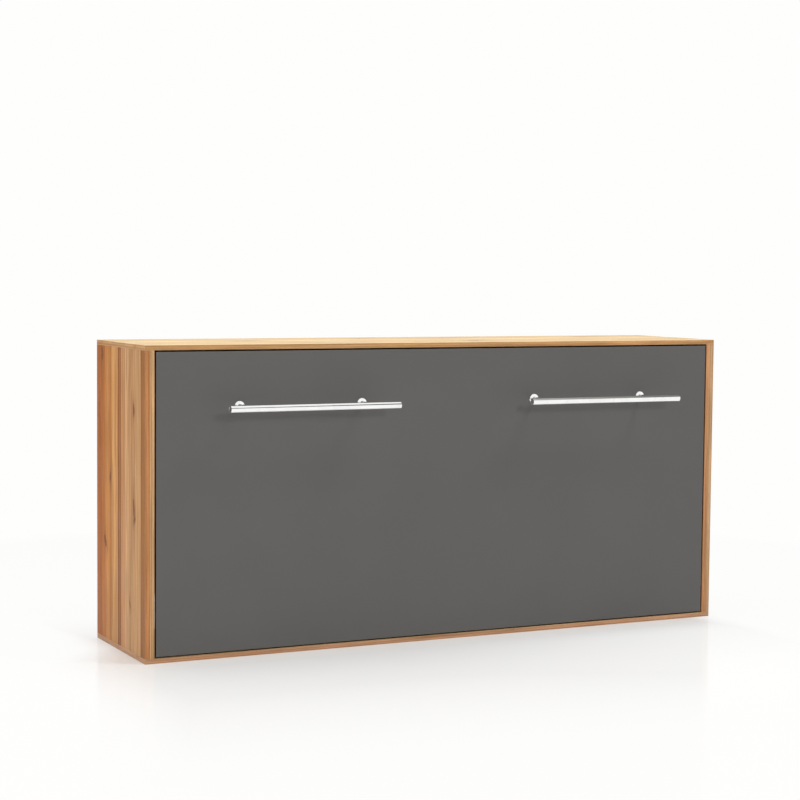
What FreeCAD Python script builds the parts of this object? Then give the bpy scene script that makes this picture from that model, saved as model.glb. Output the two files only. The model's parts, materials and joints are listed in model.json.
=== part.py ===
import FreeCAD, Part
import math
import os
import Sketcher

# Cabinet bed: a single bed that folds down lengthways out of a low cabinet, shown closed.
# The origin is the middle of the bottom panel's underside. X runs along the bed, -Y is the front, Z is up.
# The bed turns about an axis along X, low down behind the front panel, and stands on its two handles.

doc = FreeCAD.newDocument("CabinetBed")
sheet = doc.addObject("Spreadsheet::Sheet", "Sizes")
nodes = []


# ---- a number together with the formula that gives it ----

class Size:
    def __init__(self, value, text):
        self.value = value
        self.text = text

    def __add__(self, other):
        other = as_size(other)
        return Size(self.value + other.value, f"({self.text} + {other.text})")

    def __sub__(self, other):
        other = as_size(other)
        return Size(self.value - other.value, f"({self.text} - {other.text})")

    def __mul__(self, other):
        other = as_size(other)
        return Size(self.value * other.value, f"({self.text} * {other.text})")

    def __truediv__(self, other):
        other = as_size(other)
        return Size(self.value / other.value, f"({self.text} / {other.text})")

    def __radd__(self, other):
        return as_size(other) + self

    def __rsub__(self, other):
        return as_size(other) - self

    def __rmul__(self, other):
        return as_size(other) * self

    def __neg__(self):
        return self * -1


def as_size(number):
    return number if isinstance(number, Size) else Size(number, f"({number})")


def hypotenuse(across, along):
    squares = across * across + along * along
    return Size(math.sqrt(squares.value), f"sqrt({squares.text})")


def bearing(across, along):
    # the angle in degrees, from the second leg towards the first
    value = math.degrees(math.atan2(across.value, along.value))
    return Size(value, f"(atan2({across.text}; {along.text}) / 1 deg)")


def size(name, value):
    cell = f"A{len(sheet.getUsedCells()) + 1}"
    sheet.set(cell, str(value))
    sheet.setAlias(cell, name)
    return Size(value, f"Sizes.{name}")


# ---- driving sizes, in millimetres ----

mattress_length = size("mattress_length", 2000)
mattress_width = size("mattress_width", 900)
mattress_thickness = size("mattress_thickness", 180)
mattress_corner = size("mattress_corner", 40)
mattress_edge = size("mattress_edge", 20)
mattress_gap = size("mattress_gap", 4)

cabinet_depth = size("cabinet_depth", 500)
mechanism_gap = size("mechanism_gap", 38)
swing_gap = size("swing_gap", 24)
board = size("board", 16)
board_edge = size("board_edge", 0.8)
back_thickness = size("back_thickness", 8)
wall_rail_height = size("wall_rail_height", 120)
wall_hole_radius = size("wall_hole_radius", 4)
wall_hole_spacing = size("wall_hole_spacing", 1600)

dowel_radius = size("dowel_radius", 4)
dowel_length = size("dowel_length", 30)
dowel_depth = size("dowel_depth", 11)
dowel_margin = size("dowel_margin", 40)
dowel_count = size("dowel_count", 4)

panel_gap = size("panel_gap", 5)
panel_thickness = size("panel_thickness", 16)
panel_edge = size("panel_edge", 1.2)

rail_thickness = size("rail_thickness", 16)
rail_depth = size("rail_depth", 140)
ledge_width = size("ledge_width", 20)
ledge_depth = size("ledge_depth", 28)
beam_width = size("beam_width", 40)
slat_width = size("slat_width", 60)
slat_thickness = size("slat_thickness", 12)
slat_margin = size("slat_margin", 40)
slat_count = size("slat_count", 16)

handle_length = size("handle_length", 600)
handle_inset = size("handle_inset", 539)
handle_drop = size("handle_drop", 200)
handle_reach = size("handle_reach", 127)
bar_radius = size("bar_radius", 12)
bar_wall = size("bar_wall", 1.5)
post_spacing = size("post_spacing", 438)
post_radius = size("post_radius", 7)
flange_radius = size("flange_radius", 18)
flange_thickness = size("flange_thickness", 4)
flange_chamfer = size("flange_chamfer", 1.2)
cap_length = size("cap_length", 10)
cap_recess = size("cap_recess", 0.8)
bolt_radius = size("bolt_radius", 3)
bolt_reach = size("bolt_reach", 20)
bolt_head_radius = size("bolt_head_radius", 6)
bolt_head_height = size("bolt_head_height", 3.5)

pivot_setback = size("pivot_setback", 30)
pin_radius = size("pin_radius", 7)
bush_wall = size("bush_wall", 3)
bush_flange = size("bush_flange", 13)
bush_flange_thickness = size("bush_flange_thickness", 2)
spacer_radius = size("spacer_radius", 12)
clip_radius = size("clip_radius", 11)
clip_thickness = size("clip_thickness", 1.5)
clip_groove = size("clip_groove", 1)
pin_end = size("pin_end", 3)
pivot_plate_thickness = size("pivot_plate_thickness", 3)
pivot_plate_width = size("pivot_plate_width", 90)
pivot_plate_height = size("pivot_plate_height", 120)
pivot_plate_front = size("pivot_plate_front", 24)
bed_plate_thickness = size("bed_plate_thickness", 4)
bed_plate_width = size("bed_plate_width", 110)
bed_plate_height = size("bed_plate_height", 200)
bed_plate_below = size("bed_plate_below", 115)
bed_plate_rows = size("bed_plate_rows", 4)
plate_corner = size("plate_corner", 8)

screw_radius = size("screw_radius", 2.2)
screw_head_radius = size("screw_head_radius", 4.5)
screw_length = size("screw_length", 15)
screw_margin = size("screw_margin", 12)

spring_back = size("spring_back", 60)
spring_up = size("spring_up", 275)
stud_back = size("stud_back", 8)
stud_down = size("stud_down", 90)
spring_middle = size("spring_middle", 18)
spring_radius = size("spring_radius", 11)
spring_wall = size("spring_wall", 1.5)
spring_cap = size("spring_cap", 4)
spring_guide = size("spring_guide", 12)
piston_thickness = size("piston_thickness", 10)
rod_radius = size("rod_radius", 4)
rod_inside = size("rod_inside", 36)
eye_radius = size("eye_radius", 9)
eye_width = size("eye_width", 10)
eye_neck = size("eye_neck", 22)
neck_radius = size("neck_radius", 4.5)
rod_stub = size("rod_stub", 10)
stud_radius = size("stud_radius", 4)
collar_radius = size("collar_radius", 8)
stud_head_radius = size("stud_head_radius", 6)
stud_head_height = size("stud_head_height", 1.6)
bracket_width = size("bracket_width", 50)
bracket_height = size("bracket_height", 80)

batten_width = size("batten_width", 18)
batten_depth = size("batten_depth", 18)
batten_low = size("batten_low", 450)
batten_top_gap = size("batten_top_gap", 54)
buffer_radius = size("buffer_radius", 5)
buffer_height = size("buffer_height", 3)
buffer_count = size("buffer_count", 3)
buffer_margin = size("buffer_margin", 60)
catch_inset = size("catch_inset", 11)
catch_radius = size("catch_radius", 5)
catch_length = size("catch_length", 12)
catch_drop = size("catch_drop", 30)
strike_radius = size("strike_radius", 5.5)
strike_thickness = size("strike_thickness", 1.2)

angle_leg = size("angle_leg", 30)
angle_thickness = size("angle_thickness", 2)
angle_height = size("angle_height", 40)
strap_width = size("strap_width", 40)
strap_thickness = size("strap_thickness", 1.5)
strap_inset = size("strap_inset", 480)
strap_tail = size("strap_tail", 110)
buckle_width = size("buckle_width", 52)
buckle_height = size("buckle_height", 60)
buckle_thickness = size("buckle_thickness", 8)
buckle_slot = size("buckle_slot", 3)
buckle_bar = size("buckle_bar", 12)
buckle_up = size("buckle_up", 150)

# ---- clearances ----

fit = size("fit", 0.05)
gap = size("gap", 0.3)
slat_clearance = size("slat_clearance", 2)

# ---- places worked out from the sizes ----

# the mattress sets the bed box, and the bed box sets the cabinet
box_inner_half = mattress_length / 2 + mattress_gap
box_outer_half = box_inner_half + rail_thickness
inner_half = box_outer_half + mechanism_gap
half_width = inner_half + board * 2
cabinet_width = half_width * 2
front = -(cabinet_depth / 2)

box_low = board + swing_gap
box_inner_low = box_low + rail_thickness
box_inner_high = box_inner_low + mattress_width + mattress_gap * 2
box_height = box_inner_high + rail_thickness - box_low
box_middle = box_low + box_height / 2
inner_height = box_height + swing_gap * 2
inner_top = board + inner_height
cabinet_height = inner_top + board

panel_half = inner_half - panel_gap
panel_low = board + panel_gap
panel_height = inner_height - panel_gap * 2
panel_back = front + panel_thickness

slat_front = panel_back + ledge_depth
mattress_front = slat_front + slat_thickness + gap
mattress_back = mattress_front + mattress_thickness

handle_offset = half_width - handle_inset
handle_height = cabinet_height - handle_drop
strap_offset = mattress_length / 2 - strap_inset
batten_length = inner_top - batten_top_gap - batten_low

# the handle bars touch the floor when the bed is down, and this sets the height of the pivot
pivot_y = front + pivot_setback
pivot_z = pivot_setback + handle_reach + bar_radius
bush_radius = pin_radius + bush_wall
bed_plate_face = box_outer_half + bed_plate_thickness
pivot_plate_face = inner_half - pivot_plate_thickness

# the spring hangs from a stud on the cabinet's side and ends at a stud on the bed plate
anchor_y = pivot_y + spring_back
anchor_z = pivot_z + spring_up
stud_y = pivot_y + stud_back
stud_z = pivot_z - stud_down
spring_x = inner_half - spring_middle
spring_run = hypotenuse(spring_back - stud_back, spring_up + stud_down)
spring_lean = bearing(spring_back - stud_back, spring_up + stud_down)
folded_run = hypotenuse(spring_back - stud_down, spring_up - stud_back)
tube_end = folded_run - eye_neck - rod_stub


# ---- ways of building ----

def name_node(shape, label):
    shape.Label = label
    nodes.append(shape)
    return shape


def place(shape, x, y, z, axis=(0, 0, 1), angle=0):
    turn = as_size(angle)
    rotation = FreeCAD.Rotation(FreeCAD.Vector(*axis), turn.value)
    shape.Placement = FreeCAD.Placement(FreeCAD.Vector(), rotation)
    for coordinate, value in (("x", x), ("y", y), ("z", z)):
        shape.setExpression(f".Placement.Base.{coordinate}", as_size(value).text)
    if isinstance(angle, Size):
        shape.setExpression(".Placement.Rotation.Angle", turn.text)
    return shape


def aim(shape, at, axis, sign=1):
    # the shape's own Z axis is turned to the axis that is named, or to its opposite
    turns = {"X": ((0, 1, 0), 90 * sign), "Y": ((1, 0, 0), -90 * sign), "Z": ((1, 0, 0), 90 - 90 * sign)}
    return place(shape, *at, *turns[axis])


def vector(x, y):
    return FreeCAD.Vector(as_size(x).value, as_size(y).value, 0)


def fix(sketch, geometry, point, x, y):
    for kind, value, axis in (("DistanceX", as_size(x), -2), ("DistanceY", as_size(y), -1)):
        if value.value == 0:
            sketch.addConstraint(Sketcher.Constraint("PointOnObject", geometry, point, axis))
        else:
            number = sketch.addConstraint(Sketcher.Constraint(kind, -1, 1, geometry, point, value.value))
            sketch.setExpression(f"Constraints[{number}]", value.text)


def fix_radius(sketch, geometry, radius):
    number = sketch.addConstraint(Sketcher.Constraint("Radius", geometry, radius.value))
    sketch.setExpression(f"Constraints[{number}]", radius.text)


def circle(sketch, x, y, radius):
    ring = Part.Circle(vector(x, y), FreeCAD.Vector(0, 0, 1), radius.value)
    number = sketch.addGeometry(ring, False)
    fix(sketch, number, 3, x, y)
    fix_radius(sketch, number, radius)


def towards(here, there):
    # the direction of an edge that runs along a sketch axis
    step = vector(*there[:2]) - vector(*here[:2])
    return [0 if abs(run) < 1e-6 else math.copysign(1, run) for run in (step.x, step.y)]


def outline(sketch, corners):
    # a closed outline; a corner with a third value is a square corner rounded by that radius
    arrivals, departures = [], []
    for index, corner in enumerate(corners):
        x, y = corner[:2]
        if len(corner) == 2:
            arrivals.append((x, y))
            departures.append((x, y))
            continue
        before = towards(corner, corners[index - 1])
        after = towards(corner, corners[(index + 1) % len(corners)])
        arrivals.append((x + before[0] * corner[2], y + before[1] * corner[2]))
        departures.append((x + after[0] * corner[2], y + after[1] * corner[2]))
    lines = []
    for index in range(len(corners)):
        start, end = departures[index], arrivals[(index + 1) % len(corners)]
        lines.append(sketch.addGeometry(Part.LineSegment(vector(*start), vector(*end)), False))
        fix(sketch, lines[-1], 1, *start)
    for index, corner in enumerate(corners):
        if len(corner) == 2:
            sketch.addConstraint(Sketcher.Constraint("Coincident", lines[index - 1], 2, lines[index], 1))
            continue
        fix(sketch, lines[index - 1], 2, *arrivals[index])
        start, end, tip = vector(*arrivals[index]), vector(*departures[index]), vector(*corner[:2])
        centre = start + end - tip
        middle = centre + (tip - centre).normalize() * corner[2].value
        arc = sketch.addGeometry(Part.Arc(start, middle, end), False)
        first = 1 if sketch.getPoint(arc, 1).distanceToPoint(start) < 1e-6 else 2
        sketch.addConstraint(Sketcher.Constraint("Coincident", lines[index - 1], 2, arc, first))
        sketch.addConstraint(Sketcher.Constraint("Coincident", arc, 3 - first, lines[index], 1))
        fix_radius(sketch, arc, corner[2])


def sketch_in(body, role, offset=0):
    sketch = body.newObject("Sketcher::SketchObject", "Sketch")
    planes = [plane for plane in body.Origin.OriginFeatures if plane.Role == role]
    sketch.AttachmentSupport = [(planes[0], "")]
    sketch.MapMode = "FlatFace"
    sketch.setExpression("AttachmentOffset.Base.z", as_size(offset).text)
    return sketch


def pad(body, sketch, length, reverse=False):
    feature = body.newObject("PartDesign::Pad", "Pad")
    feature.Profile = (sketch, [""])
    feature.Reversed = reverse
    feature.setExpression("Length", length.text)
    return feature


def check_cut(body, before, least):
    doc.recompute()
    removed = before - body.Shape.Volume
    if removed < least * 0.5:
        raise RuntimeError(f"{body.Label}: the holes took {removed:.0f} of {least:.0f} mm3")


def drill(body, role, offset, holes, radius, depth, forward=False):
    # round holes from a plane, against its normal, or along its normal where forward is set
    sketch = sketch_in(body, role, offset)
    for across, along in holes:
        circle(sketch, across, along, radius)
    doc.recompute()
    before = body.Shape.Volume
    feature = body.newObject("PartDesign::Pocket", "Pocket")
    feature.Profile = (sketch, [""])
    feature.Reversed = forward
    feature.setExpression("Length", depth.text)
    check_cut(body, before, len(holes) * math.pi * radius.value ** 2 * depth.value)


def countersink(body, offset, holes, depth, forward):
    # screw holes through a steel plate that stands square to X, with their wide ends at the offset
    sketch = sketch_in(body, "YZ_Plane", offset)
    for across, along in holes:
        circle(sketch, across, along, screw_radius + gap)
    doc.recompute()
    before = body.Shape.Volume
    feature = body.newObject("PartDesign::Hole", "Hole")
    feature.Profile = (sketch, [""])
    doc.recompute()
    feature.DepthType = "ThroughAll"
    feature.HoleCutType = "Countersink"
    feature.Reversed = forward
    feature.setExpression("Diameter", ((screw_radius + gap) * 2).text)
    feature.setExpression("HoleCutDiameter", ((screw_head_radius + gap) * 2).text)
    feature.HoleCutCountersinkAngle = 90
    check_cut(body, before, len(holes) * math.pi * screw_radius.value ** 2 * depth.value)


def board_piece(label, corner, lengths, edge):
    # a flat board with softened edges; its own origin is its lowest corner
    body = doc.addObject("PartDesign::Body", label)
    sketch = sketch_in(body, "XY_Plane")
    outline(sketch, [(0, 0), (lengths[0], 0), (lengths[0], lengths[1]), (0, lengths[1])])
    solid = pad(body, sketch, lengths[2])
    doc.recompute()
    rounding = body.newObject("PartDesign::Fillet", "Edges")
    rounding.Base = (solid, ["Face1"])
    rounding.UseAllEdges = True
    rounding.setExpression("Radius", edge.text)
    place(body, *corner)
    return name_node(body, label)


def plate_piece(label, corner, width, height, thickness):
    # a steel plate that stands square to X, with rounded corners; its own origin is its lowest corner
    body = doc.addObject("PartDesign::Body", label)
    sketch = sketch_in(body, "YZ_Plane")
    outline(sketch, [(0, 0, plate_corner), (width, 0, plate_corner),
                     (width, height, plate_corner), (0, height, plate_corner)])
    pad(body, sketch, thickness)
    place(body, *corner)
    return name_node(body, label)


def turned(name, profile):
    # a turned solid about its own Z axis, from a profile of radius and height
    body = doc.addObject("PartDesign::Body", name)
    sketch = sketch_in(body, "XZ_Plane")
    outline(sketch, profile)
    feature = body.newObject("PartDesign::Revolution", "Revolution")
    feature.Profile = (sketch, [""])
    feature.ReferenceAxis = (sketch, ["V_Axis"])
    feature.Angle = 360
    return body


def turned_piece(label, profile):
    return name_node(turned(label, profile), label)


def cylinder(radius, length, at, axis="Z", sign=1):
    shape = doc.addObject("Part::Cylinder", "Cylinder")
    shape.setExpression("Radius", radius.text)
    shape.setExpression("Height", length.text)
    return aim(shape, at, axis, sign)


def cone(wide, narrow, length, at, axis, sign):
    shape = doc.addObject("Part::Cone", "Cone")
    shape.setExpression("Radius1", wide.text)
    shape.setExpression("Radius2", narrow.text)
    shape.setExpression("Height", length.text)
    return aim(shape, at, axis, sign)


def block(corner, lengths):
    shape = doc.addObject("Part::Box", "Box")
    for name, length in zip(("Length", "Width", "Height"), lengths):
        shape.setExpression(name, length.text)
    return place(shape, *corner)


def joined(pieces):
    shape = doc.addObject("Part::MultiFuse", "Joined")
    shape.Shapes = pieces
    return shape


def without(base, tool):
    shape = doc.addObject("Part::Cut", "Without")
    shape.Base = base
    shape.Tool = tool
    return shape


def low_x(sign, near, far):
    # the lower X of a piece that lies between two distances from the middle, on one side
    return near if sign > 0 else -far


def spread(first, last, count):
    # evenly spaced places, the first and the last included
    pitch = (last - first) / (count - 1)
    return [first + pitch * number for number in range(int(count.value))]


sides = (("left", -1), ("right", 1))


# ---- cabinet ----

def plate_screws(columns, low, height, rows):
    return [(y, z) for y in columns for z in spread(low + screw_margin, low + height - screw_margin, rows)]


def pivot_plate_screws():
    low_y = pivot_y - pivot_plate_front
    columns = (low_y + screw_margin, low_y + pivot_plate_width - screw_margin)
    return plate_screws(columns, pivot_z - pivot_plate_height / 2, pivot_plate_height, as_size(2))


def bed_plate_screws():
    column = panel_back + gap + bed_plate_width - screw_margin
    return plate_screws([column], pivot_z - bed_plate_below, bed_plate_height, bed_plate_rows)


def bracket_screws():
    return plate_screws([anchor_y], anchor_z - bracket_height / 2, bracket_height, as_size(2))


def cabinet_boards():
    dowel_inset = board * 1.5
    rows = spread(dowel_margin, cabinet_depth - dowel_margin, dowel_count)
    holes = [(x, y) for x in (dowel_inset, cabinet_width - dowel_inset) for y in rows]
    ends = [(board / 2, y) for y in rows]
    sunk = dowel_length - dowel_depth + gap
    lengths = (cabinet_width, cabinet_depth, board)
    bottom = board_piece("bottom_panel", (-half_width, front, 0), lengths, board_edge)
    drill(bottom, "XY_Plane", board, holes, dowel_radius + fit, dowel_depth)
    top = board_piece("top_panel", (-half_width, front, inner_top), lengths, board_edge)
    drill(top, "XY_Plane", 0, holes, dowel_radius + fit, dowel_depth, forward=True)
    lengths = (board, cabinet_depth, inner_height)
    for side, sign in sides:
        outer_x = low_x(sign, inner_half + board, half_width)
        inner_x = low_x(sign, inner_half, inner_half + board)
        board_piece(f"{side}_outer_side", (outer_x, front, board), lengths, board_edge)
        inner = board_piece(f"{side}_inner_side", (inner_x, front, board), lengths, board_edge)
        drill(inner, "XY_Plane", 0, ends, dowel_radius + fit, sunk, forward=True)
        drill(inner, "XY_Plane", inner_height, ends, dowel_radius + fit, sunk)
        screws = [(y - front, z - board) for y, z in pivot_plate_screws() + bracket_screws()]
        depth = screw_length - pivot_plate_thickness + gap
        inner_face = 0 if sign > 0 else board
        drill(inner, "YZ_Plane", inner_face, screws, screw_radius + fit, depth, forward=sign > 0)


def carcass_dowels():
    pegs = []
    for side, sign in sides:
        for y in spread(dowel_margin, cabinet_depth - dowel_margin, dowel_count):
            for z in (board - dowel_depth, inner_top + dowel_depth - dowel_length):
                centre = (sign * (inner_half + board / 2), front + y, z)
                pegs.append(cylinder(dowel_radius, dowel_length, centre))
    name_node(joined(pegs), "carcass_dowels")


def cabinet_back():
    back_y = -front - back_thickness
    lengths = (inner_half * 2, back_thickness, inner_height)
    back = board_piece("back_panel", (-inner_half, back_y, board), lengths, board_edge)
    columns = [inner_half - wall_hole_spacing / 2, inner_half + wall_hole_spacing / 2]
    lengths = (inner_half * 2, board, wall_rail_height)
    holes = []
    for label, low in (("lower_wall_rail", board), ("upper_wall_rail", inner_top - wall_rail_height)):
        rail = board_piece(label, (-inner_half, back_y - board, low), lengths, board_edge)
        drill(rail, "XZ_Plane", 0, [(x, wall_rail_height / 2) for x in columns], wall_hole_radius, board)
        holes += [(x, low - board + wall_rail_height / 2) for x in columns]
    drill(back, "XZ_Plane", 0, holes, wall_hole_radius, back_thickness)


def stops():
    # the front panel closes against rubber buffers on two battens, where two magnets hold it
    batten_y = panel_back + gap + buffer_height
    catch_y = panel_back + strike_thickness + gap
    catch_z = batten_low + batten_length - catch_drop
    catch_x = inner_half - catch_inset
    rows = spread(batten_low + buffer_margin, batten_low + batten_length - buffer_margin * 2, buffer_count)
    lengths = (batten_width, batten_depth, batten_length)
    buffers, catches, strikes = [], [], []
    for side, sign in sides:
        batten_x = low_x(sign, inner_half - batten_width, inner_half)
        batten = board_piece(f"{side}_stop_batten", (batten_x, batten_y, batten_low), lengths, board_edge)
        hole_x = batten_width - catch_inset if sign > 0 else catch_inset
        drill(batten, "XZ_Plane", 0, [(hole_x, catch_z - batten_low)], catch_radius + fit,
              catch_y + catch_length - batten_y)
        catches.append(cylinder(catch_radius, catch_length, (sign * catch_x, catch_y, catch_z), "Y"))
        strikes.append(cylinder(strike_radius, strike_thickness, (sign * catch_x, panel_back, catch_z), "Y"))
        for z in rows:
            at = (sign * catch_x, panel_back + gap, z)
            buffers.append(cylinder(buffer_radius, buffer_height, at, "Y"))
    name_node(joined(buffers), "stop_buffers")
    name_node(joined(catches), "magnet_catches")
    name_node(joined(strikes), "strike_plates")


# ---- pivots ----

def screws(face_x, places, sign):
    # countersunk screws whose heads are flush with a plate's face
    shapes = []
    for y, z in places:
        at = (face_x, y, z)
        shapes.append(cone(screw_head_radius, screw_radius, screw_head_radius - screw_radius, at, "X", sign))
        shapes.append(cylinder(screw_radius, screw_length, at, "X", sign))
    return shapes


def pivot_pin(side, sign):
    # the pin stands in the cabinet's plate and reaches through the bush into the bed box
    clip_far = inner_half - (box_inner_half - bush_flange_thickness - gap)
    clip_near = clip_far + clip_thickness
    length = clip_near + pin_end
    groove_radius = pin_radius - clip_groove
    pin = turned_piece(f"{side}_pivot_pin", [
        (0, 0), (pin_radius, 0), (pin_radius, clip_far - fit), (groove_radius, clip_far - fit),
        (groove_radius, clip_near + fit), (pin_radius, clip_near + fit), (pin_radius, length), (0, length)])
    aim(pin, (sign * inner_half, pivot_y, pivot_z), "X", -sign)
    at = (sign * (inner_half - clip_far), pivot_y, pivot_z)
    ring = cylinder(clip_radius, clip_thickness, at, "X", -sign)
    return without(ring, cylinder(groove_radius + fit, clip_thickness, at, "X", -sign))


def pivots():
    plate_corner_y = pivot_y - pivot_plate_front
    plate_corner_z = pivot_z - pivot_plate_height / 2
    bed_corner_y = panel_back + gap
    bed_corner_z = pivot_z - bed_plate_below
    through = bed_plate_thickness + rail_thickness
    hole = pin_radius + fit
    cabinet_screws, bed_screws, clips, spacers, bushes = [], [], [], [], []
    for side, sign in sides:
        plate = plate_piece(f"{side}_pivot_plate",
                            (low_x(sign, pivot_plate_face, inner_half), plate_corner_y, plate_corner_z),
                            pivot_plate_width, pivot_plate_height, pivot_plate_thickness)
        drill(plate, "YZ_Plane", 0, [(pivot_plate_front, pivot_plate_height / 2)], hole,
              pivot_plate_thickness, forward=True)
        places = [(y - plate_corner_y, z - plate_corner_z) for y, z in pivot_plate_screws()]
        countersink(plate, 0 if sign > 0 else pivot_plate_thickness, places, pivot_plate_thickness, sign > 0)
        cabinet_screws += screws(sign * pivot_plate_face, pivot_plate_screws(), sign)
        clips.append(pivot_pin(side, sign))

        sleeve = pivot_plate_face - bed_plate_face - gap * 2
        spacer = turned("Sleeve", [(hole, 0), (spacer_radius, 0), (spacer_radius, sleeve), (hole, sleeve)])
        spacers.append(aim(spacer, (sign * (bed_plate_face + gap), pivot_y, pivot_z), "X", sign))
        bush = turned("Bush", [
            (hole, 0), (bush_radius, 0), (bush_radius, through), (bush_flange, through),
            (bush_flange, through + bush_flange_thickness), (hole, through + bush_flange_thickness)])
        bushes.append(aim(bush, (sign * bed_plate_face, pivot_y, pivot_z), "X", -sign))

        plate = plate_piece(f"{side}_bed_plate",
                            (low_x(sign, box_outer_half, bed_plate_face), bed_corner_y, bed_corner_z),
                            bed_plate_width, bed_plate_height, bed_plate_thickness)
        drill(plate, "YZ_Plane", 0, [(pivot_y - bed_corner_y, bed_plate_below)], bush_radius + fit,
              bed_plate_thickness, forward=True)
        places = [(y - bed_corner_y, z - bed_corner_z) for y, z in bed_plate_screws()]
        countersink(plate, bed_plate_thickness if sign > 0 else 0, places, bed_plate_thickness, sign < 0)
        bed_screws += screws(sign * bed_plate_face, bed_plate_screws(), -sign)
        cabinet_screws += screws(sign * pivot_plate_face, bracket_screws(), sign)
    name_node(joined(cabinet_screws), "cabinet_plate_screws")
    name_node(joined(bed_screws), "bed_plate_screws")
    name_node(joined(clips), "retaining_clips")
    name_node(joined(spacers), "spacer_sleeves")
    name_node(joined(bushes), "pivot_bushes")


# ---- gas springs ----

def stud_profile(collar):
    shoulder = collar + eye_width + gap * 2
    end = shoulder + stud_head_height
    return [(0, 0), (collar_radius, 0), (collar_radius, collar), (stud_radius, collar),
            (stud_radius, shoulder), (stud_head_radius, shoulder), (stud_head_radius, end), (0, end)]


def spring_eye(label, middle, neck_start):
    # an end fitting along the spring's own axis, with a cross hole for its stud
    left = -(eye_width / 2)
    ring = cylinder(eye_radius, eye_width, (left, 0, middle), "X")
    neck = cylinder(neck_radius, eye_neck, (0, 0, neck_start))
    hole = cylinder(stud_radius + fit, eye_width, (left, 0, middle), "X")
    return name_node(without(joined([ring, neck]), hole), label)


def hang(shape, sign):
    # from the spring's own frame, with Z from the upper stud to the lower one, to its place at rest
    return place(shape, sign * spring_x, anchor_y, anchor_z, (1, 0, 0), 180 - spring_lean)


def gas_springs():
    outer_eye = spring_x + eye_width / 2 + gap
    inner_eye = spring_x - eye_width / 2 - gap
    hole = rod_radius + fit
    bore = spring_radius - spring_wall
    guide_end = tube_end - spring_guide
    cap_end = eye_neck + spring_cap
    piston_start = guide_end - rod_inside
    piston_end = piston_start + piston_thickness
    piston_radius = bore - fit * 2
    rod_end = spring_run - eye_neck
    for side, sign in sides:
        corner = (low_x(sign, pivot_plate_face, inner_half), anchor_y - bracket_width / 2,
                  anchor_z - bracket_height / 2)
        bracket = plate_piece(f"{side}_spring_bracket", corner, bracket_width, bracket_height,
                              pivot_plate_thickness)
        places = [(y - corner[1], z - corner[2]) for y, z in bracket_screws()]
        bracket_face = 0 if sign > 0 else pivot_plate_thickness
        countersink(bracket, bracket_face, places, pivot_plate_thickness, sign > 0)
        upper = turned_piece(f"{side}_upper_stud", stud_profile(pivot_plate_face - outer_eye))
        aim(upper, (sign * pivot_plate_face, anchor_y, anchor_z), "X", -sign)
        lower = turned_piece(f"{side}_lower_stud", stud_profile(inner_eye - bed_plate_face - gap))
        aim(lower, (sign * (bed_plate_face + gap), stud_y, stud_z), "X", sign)
        tube = turned_piece(f"{side}_spring_cylinder", [
            (0, eye_neck), (spring_radius, eye_neck), (spring_radius, tube_end), (hole, tube_end),
            (hole, guide_end), (bore, guide_end), (bore, cap_end), (0, cap_end)])
        rod = turned_piece(f"{side}_spring_rod", [
            (0, piston_start), (piston_radius, piston_start), (piston_radius, piston_end),
            (rod_radius, piston_end), (rod_radius, rod_end), (0, rod_end)])
        hang(tube, sign)
        hang(rod, sign)
        hang(spring_eye(f"{side}_upper_eye", 0, 0), sign)
        hang(spring_eye(f"{side}_lower_eye", spring_run, spring_run - eye_neck), sign)


# ---- bed ----

def handle_columns():
    columns = []
    for side, sign in sides:
        for end in (-1, 1):
            columns.append(sign * handle_offset + end * (post_spacing / 2))
    return columns


def front_panel():
    panel = board_piece("front_panel", (-panel_half, front, panel_low),
                        (panel_half * 2, panel_thickness, panel_height), panel_edge)
    holes = [(x + panel_half, handle_height - panel_low) for x in handle_columns()]
    drill(panel, "XZ_Plane", 0, holes, bolt_radius + gap, panel_thickness)


def bed_box():
    lengths = (rail_thickness, rail_depth, box_height)
    for side, sign in sides:
        corner = (low_x(sign, box_inner_half, box_outer_half), panel_back, box_low)
        rail = board_piece(f"{side}_end_rail", corner, lengths, board_edge)
        outer_face = rail_thickness if sign > 0 else 0
        drill(rail, "YZ_Plane", outer_face, [(pivot_y - panel_back, pivot_z - box_low)], bush_radius + fit,
              rail_thickness, forward=sign < 0)
        places = [(y - panel_back, z - box_low) for y, z in bed_plate_screws()]
        depth = screw_length - bed_plate_thickness + gap
        drill(rail, "YZ_Plane", outer_face, places, screw_radius + fit, depth, forward=sign < 0)
    lengths = (box_inner_half * 2, rail_depth, rail_thickness)
    board_piece("lower_long_rail", (-box_inner_half, panel_back, box_low), lengths, board_edge)
    board_piece("upper_long_rail", (-box_inner_half, panel_back, box_inner_high), lengths, board_edge)
    lengths = (box_inner_half * 2, ledge_depth, ledge_width)
    board_piece("lower_slat_ledge", (-box_inner_half, panel_back, box_inner_low), lengths, board_edge)
    board_piece("upper_slat_ledge", (-box_inner_half, panel_back, box_inner_high - ledge_width), lengths,
                board_edge)
    board_piece("centre_beam", (-box_inner_half, panel_back, box_middle - beam_width / 2),
                (box_inner_half * 2, ledge_depth, beam_width), board_edge)


def slats():
    first = slat_margin - box_inner_half
    last = box_inner_half - slat_margin - slat_width
    lengths = (slat_width, slat_thickness, box_inner_high - box_inner_low - slat_clearance * 2)
    low = box_inner_low + slat_clearance
    pieces = [block((x, slat_front, low), lengths) for x in spread(first, last, slat_count)]
    name_node(joined(pieces), "slats")


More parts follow.
